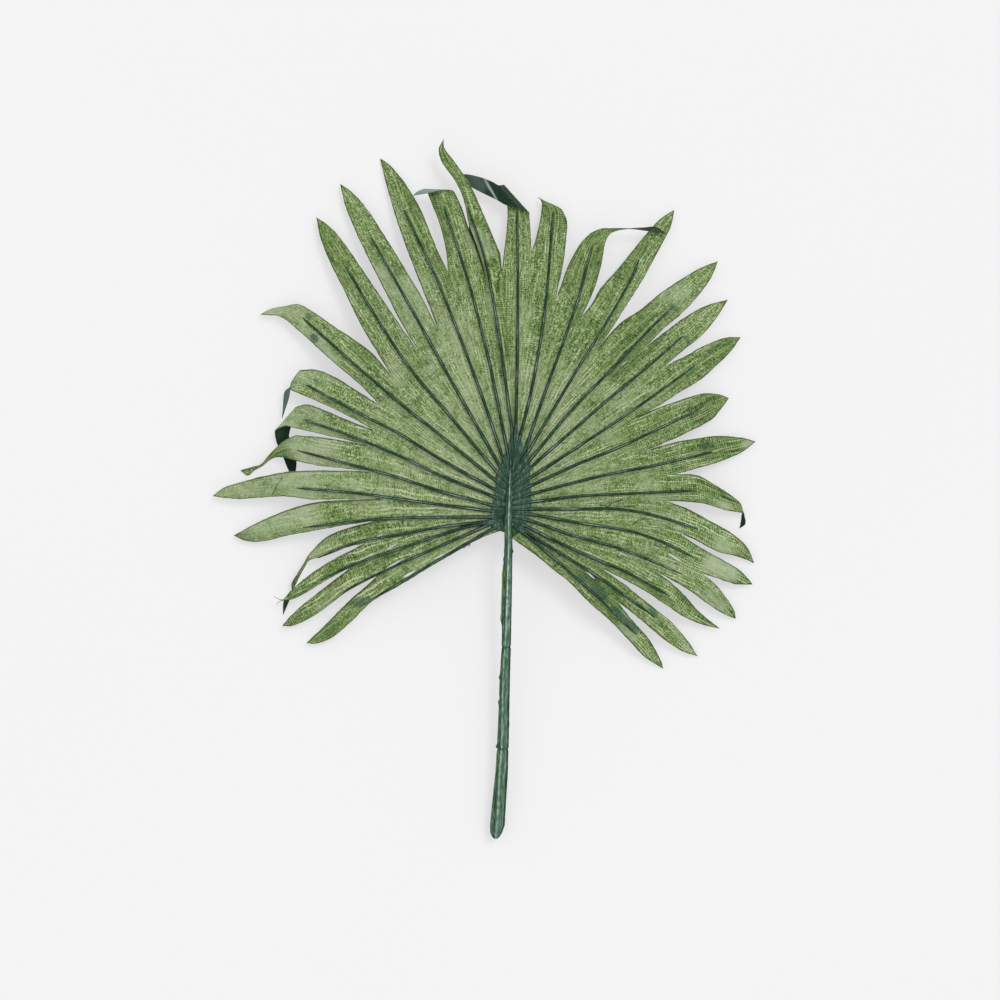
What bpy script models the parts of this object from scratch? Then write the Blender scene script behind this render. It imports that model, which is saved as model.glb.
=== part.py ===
"""Fan palm leaf of printed fabric on a moulded stem, hub and ribs.

The leaf lies on its glossy front, with the ribbed back up. It is drawn in millimetres, seen from above:
x to the right, y away from the stem, and the origin in the middle of the hub.
"""

import math
from collections import namedtuple

import bmesh
import bpy
from mathutils import Vector

MM = 0.001

# Heights above the surface that the leaf lies on
HUB_HEIGHT = 12.0
FLAT_RADIUS = 38.0
PLEAT = 0.8

# Thicknesses and gaps
FABRIC = 0.65
SEAT_GAP = 0.35
HUB_PLATE = 0.8

# Ribs: width and height at the hub and at the end
RIB_WIDTHS = (1.7, 1.1)
RIB_HEIGHTS = (1.3, 0.6)

# The stem: y along it, x of its axis, its diameter and the height of its axis
STEM_SIDES = 14
STEM = [
    (15.0, 5.0, 1.0, 13.0),
    (4.0, 4.6, 2.6, 13.7),
    (-10.0, 4.1, 3.8, 14.4),
    (-22.5, 4.2, 4.1, 14.4),
    (-37.5, 3.8, 4.6, 13.0),
    (-62.5, 3.3, 4.7, 10.9),
    (-72.6, 3.1, 4.7, 10.1),
    (-73.4, 3.1, 4.0, 10.0),
    (-74.2, 3.1, 4.7, 9.9),
    (-89.0, 2.4, 5.2, 8.7),
    (-108.0, 1.9, 5.5, 7.2),
    (-123.7, 1.4, 5.9, 6.1),
    (-124.5, 1.4, 5.1, 6.0),
    (-125.3, 1.3, 5.9, 5.9),
    (-136.5, 0.8, 6.3, 5.2),
    (-152.0, -0.5, 7.0, 4.2),
    (-162.5, -1.3, 7.4, 3.7),
    (-166.4, -1.9, 6.0, 3.6),
    (-168.8, -2.1, 3.4, 3.5),
    (-169.5, -2.2, 1.4, 3.5),
]

# Distances from the hub's centre at which the leaflets get a row of points
HUB_CENTRE = Vector((4.0, 0.0))
ROW_STEP = 8.0
LAST_ROW = 184.0

# A leaflet, clockwise seen from above: rib from the hub out, cut edge towards the leaflet before it, cut edge
# towards the next one, height of its end, turned rows (pairs of edge points with heights), and tip
Leaflet = namedtuple("Leaflet", "rib first second end_height turned tip")

# Bottom of the cut between each leaflet and the next
NOTCHES = [
    (-61.5, -38), (-75, -34), (-68, -21.75), (-63, -10.5), (-59, 0.75), (-65, 14.25), (-66, 27.5),
    (-62.5, 34.75), (-60, 47.25), (-54.25, 62.25), (-41.5, 75.5), (-31.5, 86.25), (-26, 114), (-7.1, 110),
    (1, 115), (16, 125), (28, 101), (40.5, 91), (49, 76), (72.5, 76.25), (82.75, 67.25), (67.5, 41),
    (73, 24.75), (88, 13), (83.5, -0.5), (90.5, -17), (100.5, -36.5), (75.5, -34.25), (49.5, -33.5),
    (58.5, -50.5),
]

# Edge of the hub at the blade's two margins, beside the stem
MARGINS = ((0.0, -15.5), (6.0, -19.0))

LEAFLETS = [
    Leaflet([(-4, -14.5), (-30, -29.5), (-50, -41.5), (-64, -49.5)],
            [(-11, -19.7), (-30, -30.6), (-50, -42.6), (-64, -50.8), (-75, -61.4), (-84.5, -69.1), (-92.5, -72)],
            [(-65, -41.3), (-75, -50), (-85, -60), (-95, -69.8)],
            2.2, [], (-97, -71.5)),
    Leaflet([(-5, -12), (-30, -23), (-50, -31.75), (-70, -41.5), (-78.5, -46.5)],
            [(-70, -42), (-77.5, -46.2), (-85, -52.2), (-95, -59), (-104, -63)],
            [(-80, -37.8), (-90, -45.5), (-100, -53.5), (-105, -58.3)],
            3.0, [], (-109, -63)),
    Leaflet([(-5.5, -11.3), (-20, -14.3), (-37.5, -20), (-50, -24.4), (-70, -31), (-90, -40)],
            [(-82.5, -37.75), (-90, -42), (-98.5, -47.25), (-105, -50)],
            [(-75, -25.5), (-85, -30.6), (-95, -37.2), (-103.8, -44.6)],
            5.6, [], (-108.5, -50)),
    Leaflet([(-5, -10.5), (-30, -13.5), (-50, -17.25), (-70, -20.75), (-91, -29)],
            [(-80, -24.5), (-90, -28.5), (-95.25, -30)],
            [(-77.5, -14.5), (-87.5, -19), (-95, -26.5)],
            6.0, [((-97.2, -32.8, 4.0), (-97.4, -32.1, 6.5)), ((-100.6, -38.8, 2.0), (-100.8, -38.2, 4.6)),
                  ((-103.9, -44.1, 0.6), (-103.5, -44.3, 3.0)), ((-108.0, -50, 0.2), (-105.2, -49.8, 1.8))],
            (-108.5, -57.5, 0.1)),
    Leaflet([(-5, -8.5), (-30, -8.5), (-60, -9.5), (-98.5, -13.75)],
            [(-80, -13), (-95, -15.75), (-107.5, -18), (-117.5, -20.5), (-127, -20.5)],
            [(-77.5, 0), (-91.5, -1), (-105, -4.5), (-117.5, -9.5), (-127.5, -14.5)],
            2.0, [], (-133.25, -17.75)),
    Leaflet([(-4.5, -5.5), (-30, -2.25), (-50, 0.5), (-70, 3.25), (-101.5, 6)],
            [(-75, 0.5), (-94, 0.25), (-106, 1.75), (-119, 1.25), (-130, 0.5), (-137.5, 1)],
            [(-77.5, 14.65), (-94, 14.75), (-106, 14.1), (-119, 11.75), (-130, 8.85), (-138.5, 6)],
            3.6, [], (-143.75, 2)),
    Leaflet([(-4, -2.5), (-30, 4.5), (-50, 11), (-70, 16.5), (-101, 24.7)],
            [(-77.5, 15.75), (-91, 17.25), (-103, 19.8)],
            [(-77.5, 29.5), (-91, 31.5), (-102, 32.4)],
            6.8, [((-108.25, 21.25, 4.8), (-108.5, 29.5, 5.0)), ((-112.5, 21.25, 3.2), (-112.5, 25.5, 4.4)),
                  ((-115.5, 19.75, 1.8), (-116, 21.5, 4.6)), ((-119.2, 16.75, 1.0), (-119.6, 17.45, 4.0)),
                  ((-123, 14.75, 0.9), (-124, 16.35, 2.4)), ((-126.25, 12.25, 0.8), (-127.25, 15.6, 1.4))],
            (-130, 14.85, 0.8)),
    Leaflet([(-3, 1.6), (-30, 12.5), (-50, 21.9), (-70, 30.25), (-98, 40.2)],
            [(-77.5, 30.25), (-87.5, 32.5), (-97.5, 34.75), (-107.5, 37)],
            [(-75, 39.5), (-87.5, 44.8), (-96, 47.7), (-101, 46.9)],
            6.6, [((-112.2, 35.2, 5.2), (-102.7, 45.9, 5.2)), ((-112.7, 33.6, 3.2), (-102.5, 42.5, 3.6)),
                  ((-111.9, 29.0, 1.2), (-105.6, 32.5, 1.6)), ((-110, 25, 0.0), (-103.6, 26, 0.0)),
                  ((-108.25, 20.5, 0.0), (-102, 20.5, 0.0)), ((-106, 15, 0.0), (-102.2, 15, 0.0))],
            (-103.5, 11.5, 0.0)),
    Leaflet([(-2, 5), (-30, 20.5), (-50, 33), (-70, 43), (-96.5, 57.5)],
            [(-75, 41.5), (-85, 46.5), (-94.5, 50.75), (-101, 53.5)],
            [(-72.5, 55.25), (-82.5, 61.4), (-92, 65.2), (-100, 64.9)],
            6.4, [((-104.4, 54.9, 5.4), (-103.4, 60.2, 6.2)), ((-105.3, 54.3, 4.4), (-104.9, 55.2, 6.4)),
                  ((-106.7, 51, 3.4), (-105.0, 50.75, 4.8)), ((-107.5, 47.5, 2.8), (-106.2, 47.5, 3.8))],
            (-109.6, 40.7, 2.2)),
    Leaflet([(-2.5, 10), (-30, 32.5), (-50, 48.5), (-70, 65.5), (-98.5, 91)],
            [(-69, 56.75), (-77.5, 64), (-87.5, 72.75), (-97, 81.4), (-104.5, 88), (-110, 91.8), (-115, 92.4)],
            [(-64, 73.5), (-73.5, 80.5), (-84, 87.5), (-94, 94.5), (-101, 98), (-107.5, 97), (-115, 95.5)],
            3.4, [], (-120, 92.75)),
    Leaflet([(-1.5, 14), (-25, 42), (-45, 66), (-61, 90), (-77, 116.5)],
            [(-62.7, 76), (-69.9, 88.2), (-77.4, 103.7), (-85.3, 119.6), (-89.7, 131)],
            [(-48, 84.5), (-57.5, 98.5), (-67, 112.5), (-76.5, 126.5), (-84.5, 136.25)],
            3.0, [], (-92, 141.5)),
    Leaflet([(0, 17), (-20, 52), (-40, 88), (-64.5, 131.5)],
            [(-50.2, 90), (-57.9, 105.2), (-65.6, 120.3), (-73, 136.2), (-77.8, 148.5)],
            [(-38, 99.5), (-47.5, 115.5), (-57, 131), (-66.5, 145.5), (-74, 154)],
            2.4, [], (-80, 158.25)),
    Leaflet([(1.5, 21), (-11, 57.5), (-30, 106.5), (-48, 145)],
            [(-34.1, 93.5), (-40.4, 109.6), (-46.9, 126.2), (-52.5, 142.6), (-57.4, 160)],
            [(-30, 122), (-35, 134), (-40, 146), (-47.5, 158.5), (-55, 167.5)],
            FABRIC, [], (-60, 171)),
    Leaflet([(3.5, 25.5), (-5, 67.5), (-15, 106.5), (-28, 146.5)],
            [(-27, 125), (-30, 137.5), (-34.5, 149), (-36.4, 154)],
            [(-10.4, 122), (-12.7, 128.6), (-15.9, 136.3), (-18.5, 144.5), (-22, 152.4)],
            5.6, [((-37.7, 155.2, 7.0), (-23.6, 154.4, 6.4)), ((-39.2, 154.7, 8.4), (-29.5, 154.5, 7.9)),
                  ((-41.3, 154, 9.2), (-34.4, 153.6, 8.6))],
            (-43.5, 152, 8.6)),
    Leaflet([(6, 35), (4, 50), (-0.5, 82.5), (-7.5, 120), (-16, 146)],
            [(-9.7, 121), (-12.2, 128.5), (-15.1, 136), (-18.2, 150), (-22.2, 159), (-28.9, 168.6), (-30.6, 175.2)],
            [(0, 123), (-2.5, 129), (-8.5, 143.5), (-15, 157.6), (-21.6, 167.5), (-28, 176.3)],
            8.2, [], (-28, 180.5)),
    Leaflet([(8, 37), (8.75, 75), (9, 110), (8.5, 144)],
            [(2, 123.5), (3.2, 134), (3.8, 145), (2.4, 155.4)],
            [(15.5, 127.5), (15.25, 135), (14.6, 142)],
            4.4, [((1.9, 157.3, 5.6), (14.3, 143.5, 5.6)), ((-0.6, 157.2, 6.9), (9.3, 145.9, 6.9)),
                  ((-3.5, 158.9, 6.6), (3.5, 147.2, 6.6)), ((-8.5, 161, 5.2), (-1.5, 150, 5.6)),
                  ((-15, 162.7, 4.0), (-10, 154.2, 4.2)), ((-18.5, 162.8, 3.4), (-15, 157, 3.4))],
            (-20.5, 160.2, 3.2)),
    Leaflet([(10, 31.5), (16, 56), (22.5, 95), (26.6, 143.8)],
            [(17.7, 130), (20.1, 140), (20.8, 145.5)],
            [(29, 106), (31.75, 119), (33.25, 132.5), (33.5, 140), (31.6, 144.2)],
            3.4, [((20.9, 147, 3.3), (30.2, 146, 3.3)), ((20.9, 148.6, 3.2), (26.5, 147.9, 3.2)),
                  ((20.1, 150.4, 3.1), (22.4, 149.7, 3.1))],
            (18.9, 151.7, 3.0)),
    Leaflet([(12.5, 25), (23.5, 56.5), (38.5, 98.5), (46.2, 127.6)],
            [(30, 106), (34, 117), (40, 128), (45, 133.3)],
            [(46.6, 104), (50.3, 116.1), (51.6, 123)],
            6.4, [((50.5, 135.6, 6.8), (52.6, 128.5, 5.6)), ((55.5, 135.6, 7.2), (55, 132.9, 5.4)),
                  ((60, 135.5, 7.6), (59.5, 134.8, 5.4)), ((66.5, 135.2, 7.8), (66.5, 135.6, 5.6)),
                  ((72.5, 134.5, 7.4), (72.5, 136.0, 5.8)), ((78, 133.8, 6.2), (77.5, 136.5, 5.9))],
            (83.5, 133, 5.2)),
    Leaflet([(14, 24), (35.5, 60), (56, 93.5), (66.5, 112.5), (69.5, 120)],
            [(46.5, 99), (50, 105.5), (58.5, 115), (66.5, 125), (74, 134), (80, 140.5)],
            [(56.2, 86), (64.2, 98.9), (71.2, 109.9), (79.3, 124.9), (85.5, 137)],
            2.0, [], (87.25, 145.25)),
    Leaflet([(15, 20), (35, 44), (57.5, 67), (77.5, 88), (86.5, 97)],
            [(53.5, 81.5), (60.5, 88.75), (70, 95), (80, 103.25), (90, 110), (100, 116)],
            [(81.4, 85.2), (90.3, 92.8), (98, 100.8), (105.4, 110.8)],
            2.2, [], (109, 119.5)),
    Leaflet([(15, 16), (35, 33.5), (55, 51), (75, 67.5), (91.5, 82)],
            [(82.4, 84), (92.4, 91.3), (102.4, 97)],
            [(92.3, 75.4), (101.2, 82.7), (108.2, 91)],
            2.6, [], (114, 100.25)),
    Leaflet([(15, 11), (35, 24), (60, 40.5), (85, 58), (97.5, 67.5)],
            [(92.5, 71.9), (102.5, 77.4), (112.5, 81.1)],
            [(80, 47.5), (90, 54), (100, 60), (108.5, 67.5), (116, 75)],
            2.0, [], (120.5, 81.5)),
    Leaflet([(15, 7), (40, 18.5), (60, 26.5), (80, 36), (100, 45.25)],
            [(76, 44.9), (85, 48.1), (95, 51.7), (102.5, 53.3), (110, 52.8)],
            [(85, 29.7), (95, 34.5), (105.5, 40), (111, 46)],
            3.0, [], (114.5, 51)),
    Leaflet([(15.5, 3), (40, 9.5), (60, 14), (77.5, 17.25), (106, 24)],
            [(86, 28.6), (100, 31), (110, 32.1), (121.5, 31)],
            [(100, 16.25), (110, 19.25), (121, 24)],
            1.6, [], (128, 29.25)),
    Leaflet([(15.5, -1), (40, 2), (77.5, 3.75), (97.5, 4.75)],
            [(99, 12.25), (107.5, 7.5), (112.5, 4.5), (117.3, 1.1)],
            [(95, -1), (102.5, -1.9), (112.5, -5), (119, -6.1)],
            4.2, [((120.3, -1.5, 3.2), (122, -6.8, 3.2)), ((121.3, -4.5, 1.8), (122.5, -8.3, 1.8)),
                  ((120.9, -8.8, 0.3), (123, -10.3, 0.3)), ((120.4, -12, 0.0), (122.7, -12.3, 0.0))],
            (119.85, -14.3, 0.0)),
    Leaflet([(15, -4.5), (40, -4.5), (55, -4.25), (70, -6), (85, -10), (99, -14.5)],
            [(95, -5), (105, -10.5), (115, -16), (123.5, -23.5)],
            [(97, -19.6), (103, -22.9), (110, -26.2), (120, -28.5)],
            1.6, [], (127.25, -31.5)),
    Leaflet([(14.5, -7), (40, -11.5), (65, -15.5), (80, -20.5), (96.5, -28.5)],
            [(96, -21.1), (101.5, -24.6), (110, -29.2), (120, -35.2)],
            [(107.5, -38.8), (117.5, -42)],
            2.6, [], (126.5, -42.25)),
    Leaflet([(14, -10), (40, -18.75), (55, -22.75), (70, -28), (91, -37)],
            [(106.8, -41.3), (113.5, -49.3), (117.5, -56)],
            [(86, -40), (95, -45.5), (102.5, -51), (111, -56.5)],
            2.0, [], (118, -59.5)),
    Leaflet([(13, -13), (30, -21.5), (50, -30.5), (65, -37), (85, -48)],
            [(80, -37.1), (86, -41.7), (93, -48.4), (100, -56.2)],
            [(62.5, -40), (72.5, -45.5), (82.5, -52.1), (92.5, -58.7), (101.5, -62.4)],
            2.2, [], (110.25, -64.5)),
    Leaflet([(13, -16), (30, -26.5), (50, -39), (77.5, -58.5)],
            [(60, -40.4), (67.5, -46.4), (78.5, -55.25), (86, -61.25), (93.5, -70)],
            [(69.8, -59.3), (79.8, -67.9), (89.8, -75)],
            1.6, [], (99, -78.25)),
    Leaflet([(10.5, -15.5), (25, -27.5), (45, -45), (68, -67)],
            [(66.5, -60.5), (74, -69), (79.5, -78.5)],
            [(10, -22), (18.5, -28), (25, -33.5), (34, -40.5), (45, -51.6), (55, -60.3), (63.7, -69.4), (72, -78.1)],
            1.0, [], (81.8, -84.5)),
]


def station(point):
    """Distance of a point from the hub's centre, seen from above."""
    return (Vector(point[:2]) - HUB_CENTRE).length


def smooth(points, steps=6):
    """A smooth curve through the points, as a finer list of points."""
    points = [Vector(point) for point in points]
    lengths = [(b - a).length for a, b in zip(points, points[1:])]
    slopes = []
    for index in range(len(points)):
        before = max(index - 1, 0)
        after = min(index + 1, len(points) - 1)
        slopes.append((points[after] - points[before]) / sum(lengths[before:after]))
    curve = [points[0]]
    for index, length in enumerate(lengths):
        for step in range(1, steps + 1):
            t = step / steps
            start = points[index] * (2 * t**3 - 3 * t**2 + 1) + slopes[index] * length * (t**3 - 2 * t**2 + t)
            end = points[index + 1] * (3 * t**2 - 2 * t**3) + slopes[index + 1] * length * (t**3 - t**2)
            curve.append(start + end)
    return curve


def at_station(curve, distance):
    """The point of a curve that runs outwards, at a distance from the hub's centre."""
    for a, b in zip(curve, curve[1:]):
        start, end = station(a), station(b)
        if distance <= end and end > start:
            return a.lerp(b, max(0.0, (distance - start) / (end - start)))
    return curve[-1].copy()


def hub_edge(number):
    """Edge of the hub between two ribs, or at a margin beside the stem."""
    if number == 0:
        return Vector(MARGINS[0])
    if number == len(LEAFLETS):
        return Vector(MARGINS[1])
    return (Vector(LEAFLETS[number - 1].rib[0]) + Vector(LEAFLETS[number].rib[0])) / 2


class Blade:
    """Plan and heights of one leaflet, from the hub to its tip."""

    def __init__(self, number):
        self.number = number
        self.leaflet = LEAFLETS[number]
        self.turned = self.leaflet.turned
        ends = [] if self.turned else [Vector(self.leaflet.tip)]
        self.sides = [self.side(number, self.leaflet.first, ends), self.side(number + 1, self.leaflet.second, ends)]
        self.rib = smooth(self.leaflet.rib)
        self.rib_end = station(self.leaflet.rib[-1])
        self.ends = [station(side[-1]) for side in self.sides]
        self.reach = sum(self.ends) / 2
        self.shared = max(station(self.notch(number)), station(self.notch(number + 1))) + 1.0
        self.fall = (HUB_HEIGHT - self.leaflet.end_height) / (self.reach - FLAT_RADIUS) ** 2

    def notch(self, number):
        """Where a side's own cut edge starts: at a notch, or at the hub on a margin."""
        if 0 < number < len(LEAFLETS):
            return Vector(NOTCHES[number - 1])
        return hub_edge(number)

    def side(self, number, edge, ends):
        """One side of the leaflet: straight to the notch, then along the cut edge."""
        cut = smooth([self.notch(number)] + [Vector(point) for point in edge] + ends)
        return ([hub_edge(number)] if 0 < number < len(LEAFLETS) else []) + cut

    def height(self, distance):
        """Height of the rib line, level at the hub and falling towards the tip."""
        return HUB_HEIGHT - self.fall * max(0.0, distance - FLAT_RADIUS) ** 2

    def edge_height(self, which, distance, neighbour):
        """Height of a side: lower than the rib line, and shared with the neighbour as far as the notch."""
        pleat = PLEAT * min(1.0, max(0.0, distance - 18.0) / 30.0)
        pleat *= min(1.0, max(0.0, self.reach - distance) / 15.0)
        own = self.height(distance) - pleat
        if neighbour is None:
            return own
        both = (own + neighbour.height(distance) - PLEAT * min(1.0, max(0.0, distance - 18.0) / 30.0)) / 2
        past_notch = (distance - station(self.notch(self.number + which))) / 15.0
        return both + (own - both) * min(1.0, max(0.0, past_notch))

    def local(self, which, distance):
        """Distance along one side: past the notches it is stretched, so that both sides end together."""
        if distance <= self.shared:
            return distance
        part = (distance - self.shared) / (self.reach - self.shared)
        return self.shared + part * (self.ends[which] - self.shared)

    def edge(self, which, distance, neighbour=None):
        """Point of a side in space."""
        along = self.local(which, distance)
        plan = at_station(self.sides[which], along)
        return Vector((plan.x, plan.y, self.edge_height(which, along, neighbour)))

    def middle(self, distance):
        """Point of the line under the rib, kept inside the leaflet."""
        first = at_station(self.sides[0], self.local(0, distance))
        second = at_station(self.sides[1], self.local(1, distance))
        chord = second - first
        if chord.length < 0.01:
            return Vector((first.x, first.y, self.height(distance)))
        share = self.rib_share(min(distance, self.rib_end), first, second)
        if distance > self.rib_end:
            share += (0.5 - share) * (distance - self.rib_end) / max(1.0, self.reach - self.rib_end)
        plan = first + chord * share
        return Vector((plan.x, plan.y, self.height(distance)))

    def rib_share(self, distance, first, second):
        """Where the rib crosses the leaflet: 0 at its first side, 1 at its second."""
        if distance == self.rib_end:
            first = at_station(self.sides[0], self.local(0, distance))
            second = at_station(self.sides[1], self.local(1, distance))
        chord = second - first
        share = (at_station(self.rib, distance) - first).dot(chord) / chord.length_squared
        return min(0.88, max(0.12, share))


def rows_between(start, end, extra=()):
    """Distances of the rows that lie between two distances, with any extra ones."""
    count = int(LAST_ROW / ROW_STEP)
    rows = [ROW_STEP * index for index in range(1, count + 1)]
    rows = [row for row in rows if start + 2.5 < row < end - 2.5 and all(abs(row - other) > 2.5 for other in extra)]
    return sorted(rows + [row for row in extra if start < row < end])


def bridge(mesh, left, right):
    """Triangles between two rows of points, each a list of distances and vertices."""
    i = j = 0
    while i < len(left) - 1 or j < len(right) - 1:
        grow_right = i == len(left) - 1
        if j < len(right) - 1 and not grow_right:
            grow_right = right[j + 1][0] <= left[i + 1][0] + 1e-6
        corners = [left[i][1], right[j][1]]
        if grow_right:
            j += 1
            corners.append(right[j][1])
        else:
            i += 1
            corners.append(left[i][1])
        if len(set(corners)) == 3:
            mesh.faces.new(corners)


def build_blade(material):
    """The cut sheet of fabric: one surface, thickened on its front side."""
    mesh = bmesh.new()
    blades = [Blade(number) for number in range(len(LEAFLETS))]

    def vertex(point):
        return mesh.verts.new(Vector(point) * MM)

    valleys = []
    for number in range(len(LEAFLETS) + 1):
        ring = hub_edge(number)
        line = [(station(ring), vertex((ring.x, ring.y, HUB_HEIGHT)))]
        if 0 < number < len(LEAFLETS):
            before, after = blades[number - 1], blades[number]
            notch = station(NOTCHES[number - 1])
            for row in rows_between(line[0][0], notch) + [notch]:
                line.append((row, vertex(before.edge(1, row, after))))
        valleys.append(line)

    ring_vertices = [valleys[0][0][1]]
    for number, blade in enumerate(blades):
        sides = []
        for which in (0, 1):
            line = list(valleys[number + which])
            neighbour = number - 1 + 2 * which
            other = blades[neighbour] if 0 <= neighbour < len(blades) else None
            for row in rows_between(line[-1][0], blade.reach):
                line.append((row, vertex(blade.edge(which, row, other))))
            sides.append(line)
        hub_point = blade.leaflet.rib[0]
        middle = [(station(hub_point), vertex((hub_point[0], hub_point[1], HUB_HEIGHT)))]
        for row in rows_between(middle[0][0], blade.reach, (blade.rib_end,)):
            middle.append((row, vertex(blade.middle(row))))
        lines = [sides[0], middle, sides[1]]
        if blade.turned:
            last = [blade.edge(0, blade.reach), blade.middle(blade.reach), blade.edge(1, blade.reach)]
            turned = [last] + [[Vector(a), (Vector(a) + Vector(b)) / 2, Vector(b)] for a, b in blade.turned]
            for line, points in zip(lines, zip(*turned)):
                for index, point in enumerate(points):
                    line.append((blade.reach + index, vertex(point)))
        tip = Vector(blade.leaflet.tip)
        if len(tip) == 2:
            tip = Vector((tip.x, tip.y, blade.leaflet.end_height))
        tip_vertex = vertex(tip)
        for line in lines:
            line.append((blade.reach + 100.0, tip_vertex))
        bridge(mesh, lines[0], lines[1])
        bridge(mesh, lines[1], lines[2])
        ring_vertices += [middle[0][1], valleys[number + 1][0][1]]
    mesh.faces.new(list(reversed(ring_vertices)))
    bmesh.ops.triangulate(mesh, faces=mesh.faces[:])
    data = bpy.data.meshes.new("leaf_blade")
    mesh.to_mesh(data)
    mesh.free()
    data.materials.append(material)
    blade_object = bpy.data.objects.new("leaf_blade", data)
    bpy.context.scene.collection.objects.link(blade_object)
    solidify = blade_object.modifiers.new("fabric thickness", "SOLIDIFY")
    solidify.thickness = FABRIC * MM
    solidify.offset = -1.0
    solidify.use_even_offset = False
    return blade_object, blades


def body_from_sections(name, sections):
    """A closed body through rings of points, capped at both ends."""
    mesh = bmesh.new()
    rings = [[mesh.verts.new(Vector(point) * MM) for point in section] for section in sections]
    sides = len(rings[0])
    for ring, following in zip(rings, rings[1:]):
        for index in range(sides):
            other = (index + 1) % sides
            mesh.faces.new((ring[index], ring[other], following[other], following[index]))
    mesh.faces.new(list(reversed(rings[0])))
    mesh.faces.new(rings[-1])
    bmesh.ops.triangulate(mesh, faces=mesh.faces[:])
    bmesh.ops.recalc_face_normals(mesh, faces=mesh.faces[:])
    data = bpy.data.meshes.new(name)
    mesh.to_mesh(data)
    mesh.free()
    body = bpy.data.objects.new(name, data)
    bpy.context.scene.collection.objects.link(body)
    return body


def hub_axis(point):
    """Where a rib meets the ridge that runs up the hub."""
    y = -12.0 + (point[1] + 16.0) * 0.6
    return Vector((4.0 + (y + 12.5) / 15.0, y))


def rib_body(blade):
    """One rib: a low ridge, five-sided in section, that lies along its leaflet."""
    seat = SEAT_GAP + 0.05
    hub_point = Vector(blade.leaflet.rib[0])
    start = hub_axis(hub_point)
    points = [Vector((start.x, start.y, HUB_HEIGHT + seat)), Vector((hub_point.x, hub_point.y, HUB_HEIGHT + seat))]
    first_row = station(hub_point)
    for row in rows_between(first_row, blade.reach, (blade.rib_end,)):
        if row <= blade.rib_end:
            plan = at_station(blade.rib, row)
            points.append(Vector((plan.x, plan.y, blade.height(row) + seat)))
    sections = []
    for index, point in enumerate(points):
        ahead = points[min(index + 1, len(points) - 1)] - points[max(index - 1, 0)]
        across = Vector((-ahead.y, ahead.x, 0.0)).normalized()
        part = index / (len(points) - 1)
        width = RIB_WIDTHS[0] + (RIB_WIDTHS[1] - RIB_WIDTHS[0]) * part
        tall = RIB_HEIGHTS[0] + (RIB_HEIGHTS[1] - RIB_HEIGHTS[0]) * part
        outline = ((0.5, 0.0), (0.4, 0.7), (0.0, 1.0), (-0.4, 0.7), (-0.5, 0.0))
        sections.append([point + across * width * side + Vector((0, 0, tall * up)) for side, up in outline])
    return body_from_sections(f"rib_{blade.number + 1}", sections)


def stem_body():
    """The stem, from its tip on the hub to its rounded end, with two ring grooves."""
    curve = smooth([(x, y, height) for y, x, _, height in STEM], 1)
    sections = []
    for (_, _, diameter, _), centre in zip(STEM, curve):
        ring = []
        for index in range(STEM_SIDES):
            angle = 2 * math.pi * index / STEM_SIDES
            ring.append(centre + Vector((math.cos(angle), 0, math.sin(angle))) * diameter / 2)
        sections.append(ring)
    return body_from_sections("rib_frame", sections)


def hub_plate():
    """The flat web between the ribs' roots."""
    outline = [hub_edge(0)]
    for number, leaflet in enumerate(LEAFLETS):
        outline += [Vector(leaflet.rib[0]), hub_edge(number + 1)]
    heights = (HUB_HEIGHT + SEAT_GAP, HUB_HEIGHT + SEAT_GAP + HUB_PLATE)
    return body_from_sections("hub_plate", [[(p.x, p.y, z) for p in outline] for z in heights])


def build_rib_frame(blades, material):
    """Stem, hub and ribs, joined in one moulding."""
    frame = stem_body()
    parts = bpy.data.collections.new("moulding parts")
    bpy.context.scene.collection.children.link(parts)
    pieces = [hub_plate()] + [rib_body(blade) for blade in blades]
    for piece in pieces:
        bpy.context.scene.collection.objects.unlink(piece)
        parts.objects.link(piece)
    join = frame.modifiers.new("moulded together", "BOOLEAN")
    join.operation = "UNION"
    join.operand_type = "COLLECTION"
    join.collection = parts
    join.solver = "EXACT"
    bpy.context.view_layer.update()
    joined = bpy.data.meshes.new_from_object(frame.evaluated_get(bpy.context.evaluated_depsgraph_get()))
    frame.modifiers.clear()
    frame.data = joined
    for piece in pieces:
        bpy.data.objects.remove(piece)
    bpy.data.collections.remove(parts)
    joined.name = "rib_frame"
    joined.materials.clear()
    joined.materials.append(material)
    return frame


def principled(name, colour, roughness):
    """A plain material."""
    material = bpy.data.materials.new(name)
    material.use_nodes = True
    shader = material.node_tree.nodes["Principled BSDF"]
    shader.inputs["Base Color"].default_value = (*colour, 1.0)
    shader.inputs["Roughness"].default_value = roughness
    shader.inputs["Metallic"].default_value = 0.0
    return material


def centre_over_origin(objects):
    """Moves the objects together, so that the box round them stands centred on the origin."""
    bpy.context.view_layer.update()
    graph = bpy.context.evaluated_depsgraph_get()
    corners = []
    for item in objects:
        evaluated = item.evaluated_get(graph)
        corners += [evaluated.matrix_world @ vertex.co for vertex in evaluated.data.vertices]
    lows = [min(corner[axis] for corner in corners) for axis in range(3)]
    highs = [max(corner[axis] for corner in corners) for axis in range(3)]
    shift = Vector((-(lows[0] + highs[0]) / 2, -(lows[1] + highs[1]) / 2, -lows[2]))
    for item in objects:
        item.location = shift


def main():
    for item in list(bpy.data.objects):
        bpy.data.objects.remove(item)
    fabric = principled("printed fabric", (0.16, 0.26, 0.08), 0.7)
    plastic = principled("moulded plastic", (0.04, 0.10, 0.07), 0.45)
    leaf_blade, blades = build_blade(fabric)
    rib_frame = build_rib_frame(blades, plastic)
    centre_over_origin([leaf_blade, rib_frame])


main()
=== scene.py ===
"""Fan palm leaf of printed fabric on a moulded stem, hub and ribs: the detailed model and its scene.

The leaf is drawn as in the part's source, in millimetres seen from above: x to the right, y away from the
stem, and the origin in the middle of the hub.
"""

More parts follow.
